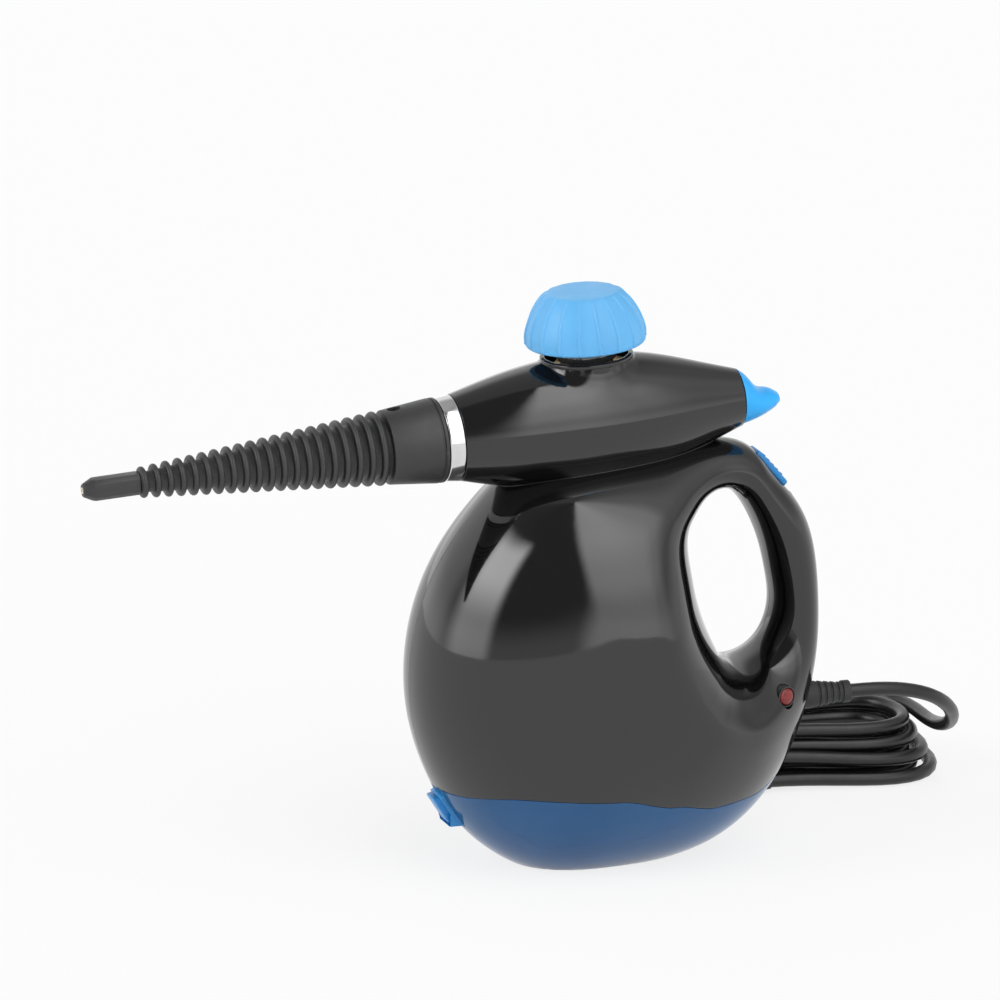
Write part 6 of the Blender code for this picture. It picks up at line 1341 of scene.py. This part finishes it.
def make_relief(entry):
    """Moulded sleeve with shallow flex grooves, its end collar and its flange inside the wall."""
    low = WALL
    top = RELIEF_SLEEVE_LENGTH
    pitch = (top - low) / (RELIEF_GROOVES + 1)
    end = top + RELIEF_COLLAR_WIDTH
    flange = -2 * WALL - GAP
    back = flange - RELIEF_FLANGE_THICKNESS
    outline = [(0, end), (RELIEF_COLLAR_RADIUS, end), (RELIEF_COLLAR_RADIUS, top), (RELIEF_SLEEVE_TIP, top)]
    for index in range(RELIEF_GROOVES):
        height = top - pitch * (index + 0.8)
        share = (top - height) / (top - low)
        radius = RELIEF_SLEEVE_TIP + (RELIEF_SLEEVE_RADIUS - RELIEF_SLEEVE_TIP) * share
        for step, deep in RELIEF_GROOVE_SHARES:
            outline.append((radius - deep * RELIEF_GROOVE_DEPTH, height + pitch * step))
    outline += [
        (RELIEF_SLEEVE_RADIUS, low), (RELIEF_SLEEVE_RADIUS, flange), (RELIEF_FLANGE_RADIUS, flange),
        (RELIEF_FLANGE_RADIUS, back), (CORD_RADIUS, back), (CORD_RADIUS, back - CORD_TAIL_LENGTH),
        (0, back - CORD_TAIL_LENGTH),
    ]
    mesh = turned("cord_sleeve", rounded(outline, RELIEF_ROUNDING, 3), 64)
    piece("cord_sleeve", placed(mesh, entry), "rubber", "housing", "strain_relief")


def hank_point(turns):
    """Centre line of the hank: loops spiral in and out, and half a turn after each leads a layer lower."""
    period = HANK_TURNS + HANK_CLIMB
    layer = min(int(turns / period), HANK_LAYERS - 1)
    local = turns - layer * period
    length = HANK_LAST_TURNS if layer == HANK_LAYERS - 1 else HANK_TURNS
    wound = min(local, length)
    place = HANK_TURNS - wound if layer % 2 == 0 else wound
    climb = max(local - length, 0) / HANK_CLIMB
    height = CORD_RADIUS + HANK_LAYER_RISE * (HANK_LAYERS - 1 - layer - climb * climb * (3 - 2 * climb))
    turn = 2 * math.pi * turns
    rise = math.sin(turn)
    half_length = HANK_HALF_LENGTH + HANK_END_PITCH * place
    half_width = HANK_INNER_HALF_WIDTH + HANK_WIDTH_PITCH * place
    return Vector((
        HANK_X + half_length * math.cos(turn),
        HANK_Y + half_width * rise * (1 - HANK_WAIST_SHARE * rise * rise),
        height + HANK_TIE_LIFT * rise ** 8,
    ))


def hank_points():
    turns = (HANK_LAYERS - 1) * (HANK_TURNS + HANK_CLIMB) + HANK_LAST_TURNS
    return [hank_point(step / HANK_STEPS) for step in range(round(turns * HANK_STEPS) + 1)]


def tail_points(end):
    """From the hank's last point round a quarter turn and back to the plug, rising to the plug's middle."""
    places = [end + Vector((0, TAIL_LEAD * share, 0)) for share in (0.5, 1.0)]
    centre = places[-1] - Vector((TAIL_TURN_RADIUS, 0, 0))
    for step in range(1, TAIL_TURN_STEPS + 1):
        turn = math.pi / 2 * step / TAIL_TURN_STEPS
        places.append(centre + TAIL_TURN_RADIUS * Vector((math.cos(turn), math.sin(turn), 0)))
    places += [places[-1] - Vector((TAIL_RUN * share, 0, 0)) for share in (0.5, 1.0)]
    rise = PLUG_BODY_HEIGHT / 2 - CORD_RADIUS
    ahead = [(place - before).length for before, place in zip([end] + places, places)]
    runs = np.cumsum(ahead).tolist()
    lifts = [rise * float(eased(run, 0, runs[-1])) for run in runs]
    return [place + Vector((0, 0, lift)) for place, lift in zip(places, lifts)]


def bent_stretch(start, first_pull, second_pull, end, steps):
    second = start + first_pull
    third = end - second_pull
    points = []
    for step in range(steps + 1):
        share = step / steps
        rest = 1 - share
        points.append(start * rest ** 3 + second * (3 * rest ** 2 * share)
                      + third * (3 * rest * share ** 2) + end * share ** 3)
    return points


def make_plug(end):
    """Moulded mains plug: grooved sleeve, rounded body with finger grips and sockets of the two pins."""
    place = Matrix.Translation(end - Vector((GAP, 0, 0))) @ quarter_turn("Y", -1)
    rows = [[(0, 0, 0)]]
    sleeve = PLUG_SLEEVE_LENGTH
    whole = sleeve + PLUG_BODY_LENGTH
    swell_start = sleeve * PLUG_SWELL_SHARES[0]
    swell_end = sleeve + PLUG_BODY_LENGTH * PLUG_SWELL_SHARES[1]
    grip_start, grip_end = PLUG_GRIP_SHARES
    heights = np.concatenate((np.linspace(0, sleeve, 36), np.linspace(sleeve, whole, 60)[1:]))
    for height in heights.tolist():
        swell = float(eased(height, swell_start, swell_end))
        ring = 0.0
        if height < sleeve * PLUG_GROOVED_SHARE:
            ring = -PLUG_GROOVE_DEPTH * max(math.sin(2 * math.pi * height / PLUG_GROOVE_PITCH), 0.0) ** 2
        grip = 0.0
        part = ((height - sleeve) / PLUG_BODY_LENGTH - grip_start) / (grip_end - grip_start)
        if 0 < part < 1:
            grip = PLUG_GRIP_DEPTH * math.sin(math.pi * PLUG_GRIPS * part) ** 2
        edge = min((whole - height) / PLUG_EDGE, 1.0)
        shut = 1 - PLUG_END_SHARE * (1 - math.sqrt(max(1 - (1 - edge) ** 2, 0)))
        neck = (PLUG_SLEEVE_RADIUS + ring) * (1 - swell)
        x = neck + PLUG_BODY_HEIGHT / 2 * swell * shut
        y = neck + PLUG_BODY_WIDTH / 2 * swell * shut
        power = 2 + PLUG_SQUARENESS * swell
        row = []
        for step in range(72):
            angle = 2 * math.pi * step / 72
            c, s = math.cos(angle), math.sin(angle)
            reach = (abs(c) ** power + abs(s) ** power) ** (-1 / power)
            inward = 1 - grip * abs(s) ** 3 / max(y, MERGE)
            row.append((x * reach * c, y * reach * s * inward, height))
        rows.append(row)
    rows.append([(0, 0, whole)])
    low, tip = whole - PLUG_PIN_SOCKET, whole + PLUG_PIN_LENGTH
    sides = [Matrix.Translation((0, side * PLUG_PIN_SPACING / 2, 0)) for side in (-1, 1)]
    holes = [placed(rod("pin_socket", PLUG_PIN_RADIUS + GAP, low, whole + OVERRUN), side) for side in sides]
    mesh = cut(grid_mesh("plug_body", rows), *holes)
    made = [piece("plug_body", placed(mesh, place), "rubber", "housing", "mains_plug")]
    outline = [(0, tip), (PLUG_PIN_RADIUS, tip), (PLUG_PIN_RADIUS, low + GAP), (0, low + GAP)]
    for index, side in enumerate(sides, 1):
        pin = turned("plug_pin", rounded(outline, PLUG_PIN_ROUNDING, 6), 40)
        pin = placed(pin, place, side)
        made.append(piece(f"contact_pin_{index}", pin, "brass", "housing", f"plug_pin_{index}"))
    return made


def make_tie():
    """Soft band round the waist of the hank."""
    outermost = HANK_INNER_HALF_WIDTH + HANK_WIDTH_PITCH * HANK_TURNS
    half = outermost * (1 - HANK_WAIST_SHARE) + CORD_RADIUS + TIE_ROOM
    low = HANK_TIE_LIFT - GAP
    high = HANK_LAYER_RISE * (HANK_LAYERS - 1) + CORD_DIAMETER + HANK_TIE_LIFT + GAP
    tall = (high - low) / 2
    rows = []
    for across, out in TIE_SECTION_SHARES:
        row = []
        for step in range(TIE_STEPS):
            angle = 2 * math.pi * step / TIE_STEPS
            c, s = math.cos(angle), math.sin(angle)
            reach = (abs(c) ** TIE_SQUARENESS + abs(s) ** TIE_SQUARENESS) ** (-1 / TIE_SQUARENESS)
            row.append((
                HANK_X + across * TIE_WIDTH,
                HANK_Y + (half + out * TIE_THICKNESS) * reach * c,
                (low + high) / 2 + (tall + out * TIE_THICKNESS) * reach * s,
            ))
        rows.append(row)
    return piece("cord_band", grid_mesh("cord_band", rows, True), "rubber", "housing", "hank_tie")


def make_cord(entry):
    """One open curve from the strain relief through the hank and its tail to the plug."""
    start = entry.translation + Vector((RELIEF_SLEEVE_LENGTH + RELIEF_COLLAR_WIDTH + GAP, 0, 0))
    loops = hank_points()
    lead = Vector((0, CORD_DIAMETER, 0))
    straight = Vector((CORD_DIAMETER, 0, 0))
    bend = bent_stretch(start + straight, Vector((FREE_HANDLE_OUT, 0, 0)), Vector((0, FREE_HANDLE_IN, 0)),
                        loops[0] - 2 * lead, FREE_STEPS)
    tail = tail_points(loops[-1])
    points = [start] + bend + [loops[0] - lead] + loops + tail
    data = bpy.data.curves.new("cord", "CURVE")
    data.dimensions = "3D"
    data.bevel_depth = CORD_RADIUS
    data.bevel_resolution = 5
    data.use_fill_caps = True
    line = data.splines.new("POLY")
    line.points.add(len(points) - 1)
    for point, place in zip(line.points, points):
        point.co = (*place, 1.0)
    line.use_smooth = True
    data.materials.append(FINISHES["cord"])
    cord = holder(data, "mains_cord")
    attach(cord, "housing")
    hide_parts("power_cord", "cord_hank")
    pieces = make_plug(tail[-1]) + [make_tie()]


# Light, floor and the rest

def make_floor():
    """Plain pale floor that shows as white to the camera and in reflections, and keeps the shadow."""
    bm = bmesh.new()
    bmesh.ops.create_grid(bm, x_segments=8, y_segments=8, size=FLOOR_HALF_SIZE)
    floor = holder(mesh_from(bm, "floor"))
    floor.location.z = -FLOOR_DROP
    made = Shader("floor", base_color=(0.86, 0.86, 0.86, 1.0), roughness=0.9, specular_ior_level=0.0)
    paths = made.node("LightPath").outputs
    seen = made.math("MAXIMUM", paths["Is Camera Ray"], paths["Is Glossy Ray"])
    seen = made.math("MAXIMUM", seen, paths["Is Transmission Ray"])
    share = made.math("MULTIPLY", seen, FLOOR_GLOW_SHARE)
    glow = made.node("Emission").outputs["Emission"]
    mix = made.node("MixShader", {"Fac": share, 1: made.main.outputs["BSDF"], 2: glow})
    made.link(mix.outputs["Shader"], made.tree.nodes["Material Output"].inputs["Surface"])
    floor.data.materials.append(made.material)


def make_world():
    """Soft studio light as a glow by direction: a tall box at the left, a broad one right and above."""
    bpy.context.scene.view_settings.view_transform = "Standard"
    world = bpy.data.worlds.new("studio")
    bpy.context.scene.world = world
    made = Nodes(world)
    place = made.node("TexCoord").outputs["Generated"]
    x, y, z = made.node("SeparateXYZ", {"Vector": place}).outputs
    turn = made.math("ARCTAN2", x, made.math("MULTIPLY", y, -1.0))
    turn = made.math("ADD", made.math("DIVIDE", turn, 2 * math.pi), 0.5)
    lift = made.math("ADD", made.math("DIVIDE", made.math("ARCSINE", z), math.pi), 0.5)
    total = WORLD_LEVEL
    for level, sides, heights in STUDIO_GLOWS:
        across = made.ramp(turn, [((azimuth + 180) / 360, share) for azimuth, share in sides])
        upward = made.ramp(lift, [((elevation + 90) / 180, share) for elevation, share in heights])
        glow = made.math("MULTIPLY", made.math("MULTIPLY", across, upward), level)
        total = made.math("ADD", glow, total)
    back = made.tree.nodes["Background"].inputs
    back["Color"].default_value = (1, 1, 1, 1)
    made.link(total, back["Strength"])


def make_spring(node, body):
    """Steel coil copied from the imported spring, riding on the given body."""
    source = NODES[node]
    mesh = source.data.copy()
    mesh.transform(source.matrix_world)
    made = piece(node + "_coil", mesh, "steel", body, node)
    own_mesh(made)


def make_springs():
    make_spring("cap_spring", "cap_plug")
    make_spring("relief_spring", "cap_plug")
    make_spring("latch_spring", "base")
    make_spring("trigger_spring", "housing")


def dress_nodes():
    for finish, names in NODE_FINISHES.items():
        for name in names:
            slots = NODES[name].data.materials
            if not slots:
                slots.append(None)
            for index in range(len(slots)):
                slots[index] = FINISHES[finish]


def main():
    outer = outer_form()
    places = surface_places(outer.copy())
    make_cord(places["entry"])
    make_relief(places["entry"])
    hollow = inner_form(places)
    make_housing(outer, hollow, places)
    make_bowl(outer)
    make_latch()
    make_cap()
    make_ring()
    make_barrel()
    make_tip()
    make_trigger()
    make_slider(places["slider"])
    make_lamp(places["lamp"])
    make_springs()
    dress_nodes()
    make_floor()
    make_world()


main()
